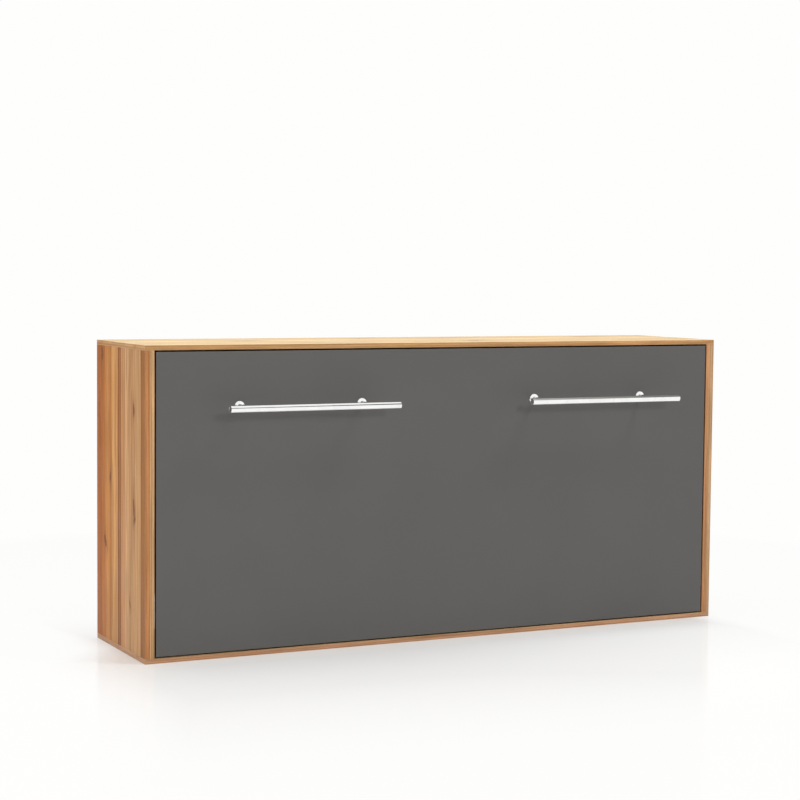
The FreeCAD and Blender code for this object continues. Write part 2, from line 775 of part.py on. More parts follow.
def corner_angles():
    y = panel_back + rail_depth - angle_height - angle_leg / 3
    angles = []
    for side, sign in sides:
        for low, upper in ((box_inner_low, False), (box_inner_high, True)):
            flat_x = low_x(sign, box_inner_half - angle_leg, box_inner_half)
            upright_x = low_x(sign, box_inner_half - angle_thickness, box_inner_half)
            flat = block((flat_x, y, low - angle_thickness if upper else low),
                         (angle_leg, angle_height, angle_thickness))
            upright = block((upright_x, y, low - angle_leg if upper else low),
                            (angle_thickness, angle_height, angle_leg))
            angles += [flat, upright]
    name_node(joined(angles), "corner_angles")


def mattress():
    body = doc.addObject("PartDesign::Body", "mattress")
    sketch = sketch_in(body, "XZ_Plane")
    outline(sketch, [(0, 0, mattress_corner), (mattress_length, 0, mattress_corner),
                     (mattress_length, mattress_width, mattress_corner),
                     (0, mattress_width, mattress_corner)])
    solid = pad(body, sketch, mattress_thickness, reverse=True)
    doc.recompute()
    largest = sorted(enumerate(solid.Shape.Faces), key=lambda face: face[1].Area)[-2:]
    rounding = body.newObject("PartDesign::Fillet", "Edges")
    rounding.Base = (solid, [f"Face{number + 1}" for number, face in largest])
    rounding.setExpression("Radius", mattress_edge.text)
    place(body, -(mattress_length / 2), mattress_front, box_middle - mattress_width / 2)
    name_node(body, "mattress")


def mattress_straps():
    # each strap goes round the mattress, from between it and one long rail to the other
    tail = mattress_back - strap_tail
    inside = mattress_back + gap
    outside = inside + strap_thickness
    reach = mattress_width / 2 + gap
    bend = mattress_edge + strap_thickness
    outer, inner = reach + strap_thickness, reach
    low_z = box_middle + buckle_up
    slot = (strap_width, buckle_thickness, buckle_slot)
    straps, buckles = [], []
    for side, sign in sides:
        strap = doc.addObject("PartDesign::Body", "Strap")
        sketch = sketch_in(strap, "YZ_Plane")
        outline(sketch, [
            (tail, -outer), (outside, -outer, bend), (outside, outer, bend), (tail, outer),
            (tail, inner), (inside, inner, mattress_edge), (inside, -inner, mattress_edge), (tail, -inner)])
        pad(strap, sketch, strap_width)
        straps.append(place(strap, sign * strap_offset - strap_width / 2, 0, box_middle))
        plate = block((sign * strap_offset - buckle_width / 2, outside + gap, low_z),
                      (buckle_width, buckle_thickness, buckle_height))
        slots = [block((sign * strap_offset - strap_width / 2, outside + gap, z), slot)
                 for z in (low_z + buckle_bar, low_z + buckle_height - buckle_bar - buckle_slot)]
        buckles.append(without(plate, joined(slots)))
    name_node(joined(straps), "mattress_straps")
    name_node(joined(buckles), "strap_buckles")


# ---- handles ----

def handles():
    bar_y = front - handle_reach
    bore = bar_radius - bar_wall
    caps = []
    for side, sign in sides:
        low_end = sign * handle_offset - handle_length / 2
        bar = doc.addObject("PartDesign::Body", f"{side}_handle_bar")
        sketch = sketch_in(bar, "YZ_Plane")
        circle(sketch, 0, 0, bar_radius)
        circle(sketch, 0, 0, bore)
        pad(bar, sketch, handle_length)
        place(bar, low_end, bar_y, handle_height)
        name_node(bar, f"{side}_handle_bar")
        for x in (low_end + cap_recess, low_end + handle_length - cap_recess - cap_length):
            caps.append(cylinder(bore - fit, cap_length, (x, bar_y, handle_height), "X"))
    name_node(joined(caps), "handle_end_caps")

    posts, flanges, bolts = [], [], []
    straight = flange_thickness - flange_chamfer
    for x in handle_columns():
        foot = (x, front, handle_height)
        along_bar = (x - handle_length / 2, bar_y, handle_height)
        saddle = cylinder(bar_radius + fit, handle_length, along_bar, "X")
        bolt_hole = cylinder(bolt_radius + fit, bolt_reach + gap, foot, "Y", -1)
        post = cylinder(post_radius, handle_reach, foot, "Y", -1)
        posts.append(without(post, joined([saddle, bolt_hole])))
        rim = cylinder(flange_radius, straight, foot, "Y", -1)
        slope = cone(flange_radius, flange_radius - flange_chamfer, flange_chamfer,
                     (x, front - straight, handle_height), "Y", -1)
        flanges.append(without(joined([rim, slope]),
                               cylinder(post_radius + fit, flange_thickness, foot, "Y", -1)))
        inside = (x, panel_back, handle_height)
        bolts.append(cylinder(bolt_radius, panel_thickness + bolt_reach, inside, "Y", -1))
        bolts.append(cylinder(bolt_head_radius, bolt_head_height, inside, "Y"))
    name_node(joined(posts), "handle_posts")
    name_node(joined(flanges), "handle_flanges")
    name_node(joined(bolts), "handle_bolts")


def write_pieces():
    doc.recompute()
    for item in doc.Objects:
        if "Invalid" in item.State or "Error" in item.State:
            raise RuntimeError(f"{item.Label}: {item.State}")
    for node in nodes:
        if node.Shape.isNull() or not node.Shape.isValid():
            raise RuntimeError(f"{node.Label}: no valid shape")
    os.makedirs("parts", exist_ok=True)
    for node in nodes:
        node.Shape.exportStep(f"parts/{node.Label}.step")
        print(f"{node.Label}: {len(node.Shape.Solids)} solids, {node.Shape.Volume / 1000:.1f} cm3")
    print(len(nodes), "pieces written")


cabinet_boards()
carcass_dowels()
cabinet_back()
stops()
pivots()
gas_springs()
front_panel()
bed_box()
slats()
corner_angles()
mattress()
mattress_straps()
handles()
write_pieces()
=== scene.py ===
import json
import math

import bmesh
import bpy
import numpy as np
from mathutils import Matrix, Vector


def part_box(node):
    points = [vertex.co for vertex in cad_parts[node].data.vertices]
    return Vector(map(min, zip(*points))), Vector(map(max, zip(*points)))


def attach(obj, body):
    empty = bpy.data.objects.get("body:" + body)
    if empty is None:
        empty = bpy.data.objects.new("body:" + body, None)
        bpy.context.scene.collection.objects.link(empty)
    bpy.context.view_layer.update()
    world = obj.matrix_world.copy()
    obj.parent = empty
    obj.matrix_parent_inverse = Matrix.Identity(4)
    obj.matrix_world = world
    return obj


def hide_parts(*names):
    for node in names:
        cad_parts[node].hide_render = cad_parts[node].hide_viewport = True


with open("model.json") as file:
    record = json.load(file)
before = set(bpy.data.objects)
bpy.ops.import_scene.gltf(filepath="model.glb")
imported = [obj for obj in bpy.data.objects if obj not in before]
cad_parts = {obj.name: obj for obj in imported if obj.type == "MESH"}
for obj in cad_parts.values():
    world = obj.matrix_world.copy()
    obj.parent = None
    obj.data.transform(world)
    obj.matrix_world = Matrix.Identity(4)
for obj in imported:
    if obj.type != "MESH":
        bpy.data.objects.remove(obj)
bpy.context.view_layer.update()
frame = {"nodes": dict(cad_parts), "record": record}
cadNodes = frame["nodes"]
scene = bpy.context.scene
print("frame loaded:", len(cadNodes), "CAD nodes")


def tone(red, green, blue):  # display levels 0-255 to linear light
    levels = np.array([red, green, blue]) / 255
    linear = np.where(levels > 0.04045, ((levels + 0.055) / 1.055) ** 2.4, levels / 12.92)
    return (*linear.tolist(), 1.0)


class Term:
    # an output of a shader node; sums, products and comparisons of terms become Math nodes
    def __init__(self, socket):
        self.socket, self.tree = socket, socket.id_data

    __add__ = lambda self, other: calc("ADD", self, other)
    __radd__ = __add__
    __sub__ = lambda self, other: calc("SUBTRACT", self, other)
    __rsub__ = lambda self, other: calc("SUBTRACT", other, self)
    __mul__ = lambda self, other: calc("MULTIPLY", self, other)
    __truediv__ = lambda self, other: calc("DIVIDE", self, other)
    __gt__ = lambda self, other: calc("GREATER_THAN", self, other)
    __lt__ = lambda self, other: calc("LESS_THAN", self, other)
    __abs__ = lambda self: calc("ABSOLUTE", self)


def feed(socket, value):
    if isinstance(value, Term):
        value.tree.links.new(value.socket, socket)
    else:
        socket.default_value = value


def addNode(tree, kind, inputs=None, **settings):
    node = tree.nodes.new("ShaderNode" + kind)
    for name, value in settings.items():
        setattr(node, name, value)
    for name, value in (inputs or {}).items():
        feed(node.inputs[name], value)
    return node


def termOf(tree, kind, inputs=None, **settings):
    return Term(addNode(tree, kind, inputs, **settings).outputs[0])


def named(node):
    return {output.name: Term(output) for output in node.outputs}


def treeOf(*values):
    return next(value.tree for value in values if isinstance(value, Term))


def calc(operation, *terms):
    return termOf(treeOf(*terms), "Math", dict(enumerate(terms)), operation=operation)


def largest(*terms):
    return terms[0] if len(terms) == 1 else calc("MAXIMUM", terms[0], largest(*terms[1:]))


def blendTone(factor, first, second, how="MIX"):
    mix = addNode(treeOf(factor, first, second), "Mix", {0: factor, 6: first, 7: second}, data_type="RGBA",
                  blend_type=how)
    return Term(mix.outputs[2])


def blendValue(factor, first, second):
    return termOf(treeOf(factor, first, second), "Mix", {0: factor, 2: first, 3: second}, data_type="FLOAT")


def ease(value, low, high, start=0.0, end=1.0):  # smooth step from low to high
    ends = {"Value": value, "From Min": low, "From Max": high, "To Min": start, "To Max": end}
    return termOf(value.tree, "MapRange", ends, interpolation_type="SMOOTHSTEP")


def vectorOf(x, y, z):
    return termOf(treeOf(x, y, z), "CombineXYZ", {"X": x, "Y": y, "Z": z})


def axes(vector):
    return list(named(addNode(vector.tree, "SeparateXYZ", {"Vector": vector})).values())


def noiseAt(vector, scale, detail=2.0, roughness=0.5):
    given = {"Vector": vector, "Scale": scale, "Detail": detail, "Roughness": roughness}
    return termOf(vector.tree, "TexNoise", given)


def newGroup(name, **given):  # the value of each input, None for a vector
    group = bpy.data.node_groups.new(name, "ShaderNodeTree")
    for label, value in given.items():
        kind = "NodeSocketVector" if value is None else "NodeSocketFloat"
        socket = group.interface.new_socket(label, in_out="INPUT", socket_type=kind)
        if value is not None:
            socket.default_value = value
    return group, named(group.nodes.new("NodeGroupInput"))


def closeGroup(group, **results):
    for label in results:
        group.interface.new_socket(label, in_out="OUTPUT", socket_type="NodeSocketFloat")
    output = group.nodes.new("NodeGroupOutput")
    for label, value in results.items():
        feed(output.inputs[label], value)
    return group


def useGroup(group, **inputs):
    return named(addNode(treeOf(*inputs.values()), "Group", inputs, node_tree=group))


def makeWoodGrain():
    # streaks, fibres and pores drawn out along the grain; all lengths in metres
    group, given = newGroup("woodGrain", Along=0, Across=0, Seed=0, Bands=90)
    along, across, seed = given["Along"], given["Across"], given["Seed"]
    drift = noiseAt(vectorOf(along * 2.6, across * 9.0, seed), 1.0, 2.5)
    bent = across + (drift - 0.5) * 0.04
    wide = noiseAt(vectorOf(along * 1.7, bent * given["Bands"], seed), 1.0, 3.0, 0.62)
    fine = noiseAt(vectorOf(along * 16.0, bent * 900.0, seed), 1.0, 2.0, 0.6)
    dots = noiseAt(vectorOf(along * 120.0, bent * 1700.0, seed), 1.0, 1.0)
    pores = ease(dots, 0.62, 0.7)
    return closeGroup(group, Streaks=ease(wide, 0.3, 0.7), Fibres=fine, Pores=pores, Bent=bent,
                      Height=fine * 0.5 - pores)


def makeGrainKnot():
    # the grain line is pushed away from the knot's middle: line = place - offset * 0.8 * exp(-distance^2 / 5)
    group, given = newGroup("grainKnot", Along=0, Across=0, AtAlong=0, AtAcross=0, Length=0.05, Width=0.01)
    offset = given["Across"] - given["AtAcross"]
    far = (given["Along"] - given["AtAlong"]) / given["Length"]
    sway = calc("SINE", far * 1.5 + given["AtAlong"] * 37.0)
    wide = offset / given["Width"] + sway * 0.5
    square = far * far + wide * wide
    push = calc("EXPONENT", square / -5.0)
    ragged = vectorOf(given["Along"] * 45.0, given["Across"] * 110.0, given["AtAlong"])
    ragged = noiseAt(ragged, 1.0, 4.0, 0.6)
    reach = calc("SQRT", square) + (ragged - 0.5) * 0.9
    # tails: dark lines that run out along the grain, exp(-|far| / 2) long and 2 mm to each side
    line = (offset + (ragged - 0.5) * 0.008) / 0.002
    return closeGroup(group, Across=given["Across"] - offset * push * 0.8, Core=ease(reach, 0.9, 0.5),
                      Rings=calc("SINE", reach * 16.0), Rim=ease(abs(reach - 0.8), 0.16, 0.02),
                      Stain=calc("EXPONENT", square * -0.22),
                      Tail=calc("EXPONENT", abs(far) * -0.5 - line * line))


def makeEdgeWearAndHighlight():
    # distance to the nearest edge of a box: the smallest, over pairs of axes, of the larger face distance
    group, given = newGroup("edgeWearAndHighlight", Position=None, Low=None, High=None, Width=0.002)
    place, low, high = (axes(given[name]) for name in ("Position", "Low", "High"))
    gaps = [abs(calc("MINIMUM", place[i] - low[i], high[i] - place[i])) for i in range(3)]
    pairs = [largest(gaps[i], gaps[j]) for i, j in ((0, 1), (1, 2), (0, 2))]
    edge = calc("MINIMUM", calc("MINIMUM", pairs[0], pairs[1]), pairs[2])
    # the lighter patchy strip along the edges is wear and also a painted highlight where the rounded edges
    # catch the light
    patchy = noiseAt(given["Position"], 45.0, 3.0)
    reach = given["Width"] * (patchy * 2.0)
    return closeGroup(group, Worn=ease(edge / reach, 1.0, 0.1), Seam=ease(abs(edge - 0.0012), 0.0003, 0.0001))


def makeHandling():
    # soft cloudy patches and hair-fine scratches, for roughness
    group, given = newGroup("handling", Position=None, Size=9)
    cloud = noiseAt(given["Position"], given["Size"], 4.0, 0.6)
    turned = termOf(group, "Mapping", {"Vector": given["Position"], "Rotation": (0.7, 0.5, 0.9),
                                       "Scale": (14.0, 900.0, 300.0)})
    scratches = ease(noiseAt(turned, 1.0, 1.0), 0.70, 0.78)
    return closeGroup(group, Smudge=ease(cloud, 0.35, 0.75), Scratches=scratches)


def makeThreads():
    # plain weave: threads one way stand over threads the other way in turn
    group, given = newGroup("threads", U=0, V=0, Pitch=0.001)
    u, v = (given[name] / given["Pitch"] * math.pi for name in ("U", "V"))
    over = ease(calc("COSINE", u) * calc("COSINE", v), -0.2, 0.2)
    return closeGroup(group, Height=blendValue(over, abs(calc("SINE", u)), abs(calc("SINE", v))), Over=over)


woodGrain = makeWoodGrain()
grainKnot = makeGrainKnot()
edgeWearAndHighlight = makeEdgeWearAndHighlight()
handling = makeHandling()
threads = makeThreads()
print("shared effects made")


def newMaterial(name, roughness=0.5, metallic=0.0, **plain):
    material = bpy.data.materials.new(name)
    material.use_nodes = True
    shader = next(node for node in material.node_tree.nodes if node.type == "BSDF_PRINCIPLED")
    for label, value in {"Roughness": roughness, "Metallic": metallic, **plain}.items():
        shader.inputs[label.replace("_", " ")].default_value = value
    place = named(addNode(material.node_tree, "TexCoord"))
    return material, shader, place["Object"], place["Normal"]


def dress(material, shader, base, height, distance, strength, rough=None):
    feed(shader.inputs["Base Color"], base)
    if rough:
        feed(shader.inputs["Roughness"], rough)
    bump = {"Height": height, "Distance": distance, "Strength": strength}
    feed(shader.inputs["Normal"], termOf(material.node_tree, "Bump", bump))
    return material


def shadeBy(base, level):
    grey = termOf(base.tree, "CombineColor", {"Red": level, "Green": level, "Blue": level})
    return blendTone(1.0, base, grey, "MULTIPLY")


def stepRamp(value, stops):
    ramp = addNode(value.tree, "ValToRGB", {"Fac": value})
    ramp.color_ramp.interpolation = "CONSTANT"
    while len(ramp.color_ramp.elements) < len(stops):
        ramp.color_ramp.elements.new(0.5)
    for element, (at, colour) in zip(ramp.color_ramp.elements, stops):
        element.position = at
        element.color = colour
    return Term(ramp.outputs["Color"])


laminateLook = {
    "roughness": 0.44, "gloss": {True: 0.12, False: 0.25},  # uprights first
    "deep": 0.5, "streakDepth": 0.34, "fibreDepth": 0.20,
    "streakTone": tone(150, 98, 58), "redTone": tone(172, 98, 52), "knotTone": tone(104, 50, 14),
    "knotRed": tone(146, 84, 40), "rimTone": tone(64, 32, 12), "stainTone": tone(146, 92, 54),
    "poreTone": tone(120, 80, 50),
    # planks of the upright sides, from the back (y = 0.25) to the front, as (how far from the back, tone)
    "sideStaves": [(0.000, (168, 98, 44)), (0.055, (184, 112, 48)), (0.092, (198, 134, 70)),
                   (0.135, (184, 120, 58)), (0.160, (208, 152, 92)), (0.214, (196, 140, 84)),
                   (0.226, (136, 76, 28)), (0.238, (180, 120, 66)), (0.246, (142, 84, 36)),
                   (0.254, (194, 138, 90)), (0.296, (206, 160, 112)), (0.335, (188, 142, 94)),
                   (0.376, (194, 148, 100)), (0.457, (148, 96, 46)), (0.474, (158, 104, 54))],
    "topStaves": [(0.000, (216, 178, 118)), (0.070, (230, 198, 138)), (0.135, (204, 162, 106)),
                  (0.160, (236, 208, 154)), (0.262, (216, 176, 118)), (0.300, (230, 198, 138)),
                  (0.385, (200, 156, 100)), (0.410, (232, 202, 146))],
    # knots: (along the grain, from the back, length, width)
    "leftKnots": [(0.806, 0.384, 0.024, 0.009), (0.492, 0.386, 0.030, 0.009), (0.452, 0.390, 0.014, 0.006),
                  (0.569, 0.150, 0.020, 0.007), (0.346, 0.094, 0.022, 0.013), (0.975, 0.057, 0.024, 0.009),
                  (0.170, 0.350, 0.014, 0.005), (0.290, 0.236, 0.150, 0.0035)],
    "rightKnots": [(0.700, 0.360, 0.036, 0.012), (0.420, 0.130, 0.032, 0.010), (0.230, 0.400, 0.028, 0.010),
                   (0.860, 0.110, 0.024, 0.008)],
    "topKnots": [(-0.620, 0.210, 0.036, 0.010), (0.180, 0.345, 0.040, 0.012), (0.760, 0.110, 0.032, 0.010),
                 (-0.150, 0.095, 0.026, 0.008)],
    # front and end edges, as two tones that alternate in fine bands
    "edges": {"outer": ((188, 132, 86), (174, 114, 70)), "innerLeft": ((208, 166, 120), (180, 136, 94)),
              "top": ((202, 156, 104), (184, 136, 88)), "innerRight": ((200, 147, 104), (188, 133, 91)),
              "bottom": ((194, 150, 116), (180, 132, 96)), "outerRight": ((196, 158, 120), (180, 139, 100))},
}


def makeLaminate(node, name, staves, knots, edge, seed):
    # printed planks: the face's grain runs along Z on uprights and along X on the flat boards
    look = laminateLook
    upright = staves == "sideStaves"
    edgeTones = [tone(*colour) for colour in look["edges"][edge]]
    low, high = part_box(node)
    gloss = look["gloss"][upright]
    material, shader, place, normal = newMaterial(name, look["roughness"], Specular_IOR_Level=gloss)
    x, y, z = axes(place)
    facing = [abs(part) for part in axes(normal)]
    frontEdge = facing[1] > 0.7
    endEdge = facing[2 if upright else 0] > 0.7
    onEdge = largest(frontEdge, endEdge)
    depth = 0.25 - y  # from the back edge to the front
    along = z if upright else blendValue(endEdge, x, y)
    across = blendValue(frontEdge, depth, x) if upright else blendValue(onEdge, depth, z)
    bent, rings = across, -1.0
    marks = {"Core": 0.0, "Rim": 0.0, "Stain": 0.0, "Tail": 0.0}
    for atAlong, atAcross, length, width in look.get(knots, ()):
        knot = useGroup(grainKnot, Along=along, Across=bent, AtAlong=atAlong, AtAcross=atAcross,
                        Length=length, Width=width)
        bent = knot["Across"]
        rings = blendValue(knot["Core"], rings, knot["Rings"])
        marks = {label: largest(mark, knot[label]) for label, mark in marks.items()}
    share = depth / look["deep"]
    plank = stepRamp(share, [(at / look["deep"], tone(*colour)) for at, colour in look[staves]])
    shift = stepRamp(share, [(at / look["deep"], (3 * number * 0.37 % 1,) * 3 + (1.0,))
                             for number, (at, _) in enumerate(look[staves])])
    plankSeed = shift * 40.0 + seed
    grain = useGroup(woodGrain, Along=along, Across=bent, Seed=plankSeed, Bands=85.0)
    band = noiseAt(vectorOf(along * 0.7, across * 260.0, seed), 1.0)
    base = blendTone(onEdge, plank, blendTone(ease(band, 0.4, 0.6), *edgeTones))
    # growth lines: darker where the sine of the bent distance across, with the streaks added, is near its top
    growth = calc("SINE", grain["Bent"] * (2 * math.pi / 0.021) + grain["Streaks"] * 4.0)
    patch = ease(noiseAt(vectorOf(along, across, plankSeed), 5.0), 0.35, 0.60, 0.25, 1.0)
    base = blendTone(ease(growth, 0.45, 0.98) * 0.42 * patch, base, look["streakTone"])
    shade = 1.0 + look["streakDepth"] * 0.45 - grain["Streaks"] * look["streakDepth"]
    shade = shade * (1.0 - look["fibreDepth"] / 2 + grain["Fibres"] * look["fibreDepth"])
    patch = noiseAt(vectorOf(along * 5.0, bent * 60.0, plankSeed), 1.0, 2.0)
    base = shadeBy(base, shade * ease(patch, 0.25, 0.75, 0.90, 1.10))
    red = noiseAt(vectorOf(along * 1.3, bent * 55.0, plankSeed), 1.0, 2.0)
    base = blendTone(ease(red, 0.56, 0.80, 0.0, 0.42), base, look["redTone"])
    base = blendTone(grain["Pores"] * 0.35, base, look["poreTone"])
    if knots:
        knotBase = blendTone(ease(rings, -0.6, 0.8), look["knotTone"], look["knotRed"])
        for label, strength, colour in (("Stain", 0.45, look["stainTone"]), ("Tail", 0.8, look["knotTone"]),
                                        ("Core", 0.9, knotBase), ("Rim", 0.55, look["rimTone"])):
            base = blendTone(marks[label] * strength, base, colour)
    wearAndHighlight = useGroup(edgeWearAndHighlight, Position=place, Low=low, High=high, Width=0.0016)
    # lighter along the edges: wear, and a painted highlight on the rounded edges
    base = blendTone(wearAndHighlight["Worn"] * 0.35, base, tone(222, 182, 132))
    base = blendTone(wearAndHighlight["Seam"] * 0.45, base, tone(96, 62, 42))
    smudge = useGroup(handling, Position=place, Size=7.0)["Smudge"]
    rough = grain["Fibres"] * 0.10 + (look["roughness"] - 0.08 + smudge * 0.07)
    return dress(material, shader, base, grain["Height"], 0.00012, 0.6, rough)


timberLook = {  # the two tones, bands of streaks, roughness, strength of the pores
    "pine": ((214, 170, 116), (178, 118, 66), 70.0, 0.55, 0.10),
    "inner": ((206, 184, 152), (176, 150, 118), 120.0, 0.48, 0.25),
    "birch": ((228, 200, 156), (204, 168, 118), 60.0, 0.45, 0.12),
}


def makeTimber(name, kind, grainAxis, seed, plies=None):
    # plain timber; grainAxis is 0 for grain along X and 2 for grain along Z
    light, dark, bands, roughness, pores = timberLook[kind]
    material, shader, place, normal = newMaterial(name, roughness)
    part = axes(place)
    across = part[1] * 0.8 + part[2 - grainAxis]
    grain = useGroup(woodGrain, Along=part[grainAxis], Across=across, Seed=seed, Bands=bands)
    rings = calc("SINE", across * 620.0 + grain["Streaks"] * 7.0)
    base = blendTone(grain["Streaks"] * 0.55 + (rings + 1.0) * 0.14, tone(*light), tone(*dark))
    base = blendTone(grain["Pores"] * pores, base, tone(96, 62, 36))
    base = shadeBy(base, 0.88 + grain["Fibres"] * 0.24)
    if plies:  # veneers show on the long narrow edges
        side = abs(axes(normal)[0]) > 0.6
        layer = calc("SINE", part[1] * (2 * math.pi / plies))
        base = blendTone(side * ease(layer, -0.15, 0.15, 0.0, 0.7), base, tone(150, 108, 66))
    rough = roughness - 0.05 + grain["Fibres"] * 0.12
    return dress(material, shader, base, grain["Height"], 0.00015, 0.7, rough)


# the lighter edge tone is wear and a painted highlight on the rounded edges
lacquerLook = {"tone": (88, 86, 84), "lift": (91, 89, 87), "wornAndLitEdge": (120, 118, 115), "roughness": 0.38,
               # edge: painted shade, the dark brown seen in the shaded gap round the panel
               "edge": (62, 38, 24)}


def makeLacquer(name, node):
    # sprayed lacquer: faint clouds of tone, orange peel a few tenths of a millimetre across
    look = lacquerLook
    low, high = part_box(node)
    material, shader, place, normal = newMaterial(name, look["roughness"])
    clouds = noiseAt(place, 2.6, 3.0, 0.55)
    base = blendTone(ease(clouds, 0.35, 0.68, 0.0, 0.6), tone(*look["tone"]), tone(*look["lift"]))
    specks = noiseAt(place, 2400.0, 1.0)
    base = blendTone(ease(specks, 0.60, 0.78, 0.0, 0.25), base, tone(126, 125, 122))
    wearAndHighlight = useGroup(edgeWearAndHighlight, Position=place, Low=low, High=high, Width=0.0016)
    # lighter along the edges: wear, and a painted highlight on the rounded edges
    base = blendTone(wearAndHighlight["Worn"] * 0.5, base, tone(*look["wornAndLitEdge"]))
    # the narrow sides get painted shade, the brown of the shaded gap
    edge = abs(axes(normal)[1]) < 0.6
    base = blendTone(edge, base, tone(*look["edge"]))  # painted shade: the panel's four narrow sides take the dark brown seen in the shaded gap round it
    marks = useGroup(handling, Position=place, Size=4.0)
    rough = look["roughness"] - 0.03 + marks["Smudge"] * 0.08 + marks["Scratches"] * 0.05
    return dress(material, shader, base, noiseAt(place, 520.0, 2.0), 0.00003, 0.5, rough)


hardLook = {  # by slot: the two tones, roughness, cells per metre, metallic, bump in metres
    "chrome": ((252, 252, 251), (241, 241, 241), 0.06, 30.0, 1.0, 0.00001),
    "zinc_steel": ((196, 198, 200), (152, 156, 158), 0.30, 170.0, 1.0, 0.00003),
    "bronze": ((176, 130, 76), (128, 88, 46), 0.38, 900.0, 1.0, 0.00004),
    "black_steel": ((30, 30, 32), (22, 22, 24), 0.30, 60.0, 0.0, 0.00003),
    "black_plastic": ((34, 34, 35), (27, 27, 28), 0.46, 700.0, 0.0, 0.00006),
    "rubber": ((42, 42, 42), (30, 30, 30), 0.74, 500.0, 0.0, 0.00008),
}


def makeHardFinish(name):
    # crystal or moulding cells of two tones, with smudges and fine scratches in the gloss
    light, dark, roughness, cells, metallic, bump = hardLook[name]
    material, shader, place, _ = newMaterial(name, roughness, metallic)
    grains = addNode(material.node_tree, "TexVoronoi", {"Vector": place, "Scale": cells})
    level = axes(Term(grains.outputs["Color"]))[0] * 0.6 + noiseAt(place, 35.0, 3.0) * 0.4
    marks = useGroup(handling, Position=place, Size=22.0)
    rough = roughness + marks["Smudge"] * (roughness * 0.5) + marks["Scratches"] * 0.06
    return dress(material, shader, blendTone(level, tone(*dark), tone(*light)),
                 noiseAt(place, cells * 3, 2.0), bump, 0.6, rough)


clothLook = {
    "panel": (232, 229, 221), "dot": (206, 202, 192), "border": (196, 193, 186),
    "borderDark": (170, 167, 160), "pitch": 0.0011, "figure": 0.028, "rib": 0.009,
    "quilt": (0.1103, 0.1108), "middle": 0.51,  # the stitched diamonds' width and height
}


def makeTicking(name):
    # woven ticking: small woven diamonds on the panels, plain ribs on the border
    look = clothLook
    material, shader, place, normal = newMaterial(name, 0.85, Sheen_Weight=0.25, Sheen_Roughness=0.5)
    x, y, z = axes(place)
    facing = [abs(part) for part in axes(normal)]
    border = ease(facing[1], 0.62, 0.50)
    side = blendValue(facing[2] > facing[0], z, x)  # runs round the border
    panelCloth = useGroup(threads, U=x, V=z, Pitch=look["pitch"])
    borderCloth = useGroup(threads, U=side, V=y, Pitch=look["pitch"] * 1.3)
    a, b = (calc("COSINE", way * (2 * math.pi / look["figure"])) for way in (x + z, x - z))
    figure = ease(a * b, 0.45, 0.60)
    panelTone = blendTone(figure * 0.8, tone(*look["panel"]), tone(*look["dot"]))
    rib = ease(calc("SINE", y * (2 * math.pi / look["rib"])), -0.2, 0.2)
    base = blendTone(border, panelTone, blendTone(rib, tone(*look["border"]), tone(*look["borderDark"])))
    # stitched lines where x / width + z / height, or their difference, is a whole number
    u, v = x / look["quilt"][0], (z - look["middle"]) / look["quilt"][1]
    creaseAndShade, stitches = 0.0, 0.0
    # the creases along the stitched lines are dented by the bump and get painted shade, darker towards the
    # stitches
    for cross, run in ((u + v, u - v), (u - v, u + v)):
        away = calc("PINGPONG", cross, 0.5) * (look["quilt"][0] / math.sqrt(2))
        dash = ease(calc("PINGPONG", run * 26.0, 0.5), 0.06, 0.14)
        creaseAndShade = largest(creaseAndShade, ease(away, 0.0045, 0.0))
        stitches = largest(stitches, dash * ease(away, 0.0009, 0.0005))
    creaseAndShade, stitches = (mark * (1.0 - border) for mark in (creaseAndShade, stitches))
    over = blendValue(border, panelCloth["Over"], borderCloth["Over"])
    soil = ease(noiseAt(place, 3.0, 4.0), 0.45, 0.8, 0.0, 0.10)
    for factor, colour in ((creaseAndShade * 0.30, (158, 152, 142)), (stitches * 0.8, (244, 242, 236)),
                           (over * 0.12, (150, 146, 138)), (soil, (186, 176, 156))):
        base = blendTone(factor, base, tone(*colour))
    height = blendValue(border, panelCloth["Height"] + figure, borderCloth["Height"])
    return dress(material, shader, base, height - creaseAndShade * 5.0 + stitches * 2.0, 0.00018, 0.8)


webLook = {"webbing": {"tone": (46, 47, 50), "dark": (28, 29, 31), "thread": (74, 76, 80), "pitch": 0.0016},
           "tapeEdge": {"tone": (150, 147, 141), "dark": (122, 119, 113), "thread": (236, 233, 226),
                        "pitch": 0.0011, "stitch": 0.0045}}


def makeWebbing(name):
    # woven tape on its own map: U runs along it in metres, V across it from one side
    look = webLook[name]
    material, shader, *_ = newMaterial(name, 0.72, Sheen_Weight=0.2, Sheen_Roughness=0.4)
    u, v = axes(Term(addNode(material.node_tree, "UVMap", uv_map="lay").outputs[0]))[:2]
    cloth = useGroup(threads, U=u, V=v, Pitch=look["pitch"])
    base = blendTone(cloth["Over"], tone(*look["tone"]), tone(*look["dark"]))
    fuzz = noiseAt(vectorOf(u, v, 0.0), 1900.0, 2.0)
    base = blendTone(ease(fuzz, 0.5, 0.8, 0.0, 0.35), base, tone(*look["thread"]))
    height = cloth["Height"]
    if "stitch" in look:  # one row of stitches on each side of the tape
        gap = calc("FRACT", u / look["stitch"])
        row = ease(abs(abs(v) - 0.0045), 0.0007, 0.0003) * ease(abs(gap - 0.5), 0.36, 0.28)
        base = blendTone(row, base, tone(*look["thread"]))
        height = height + row
    return dress(material, shader, base, height, 0.00035, 0.9)


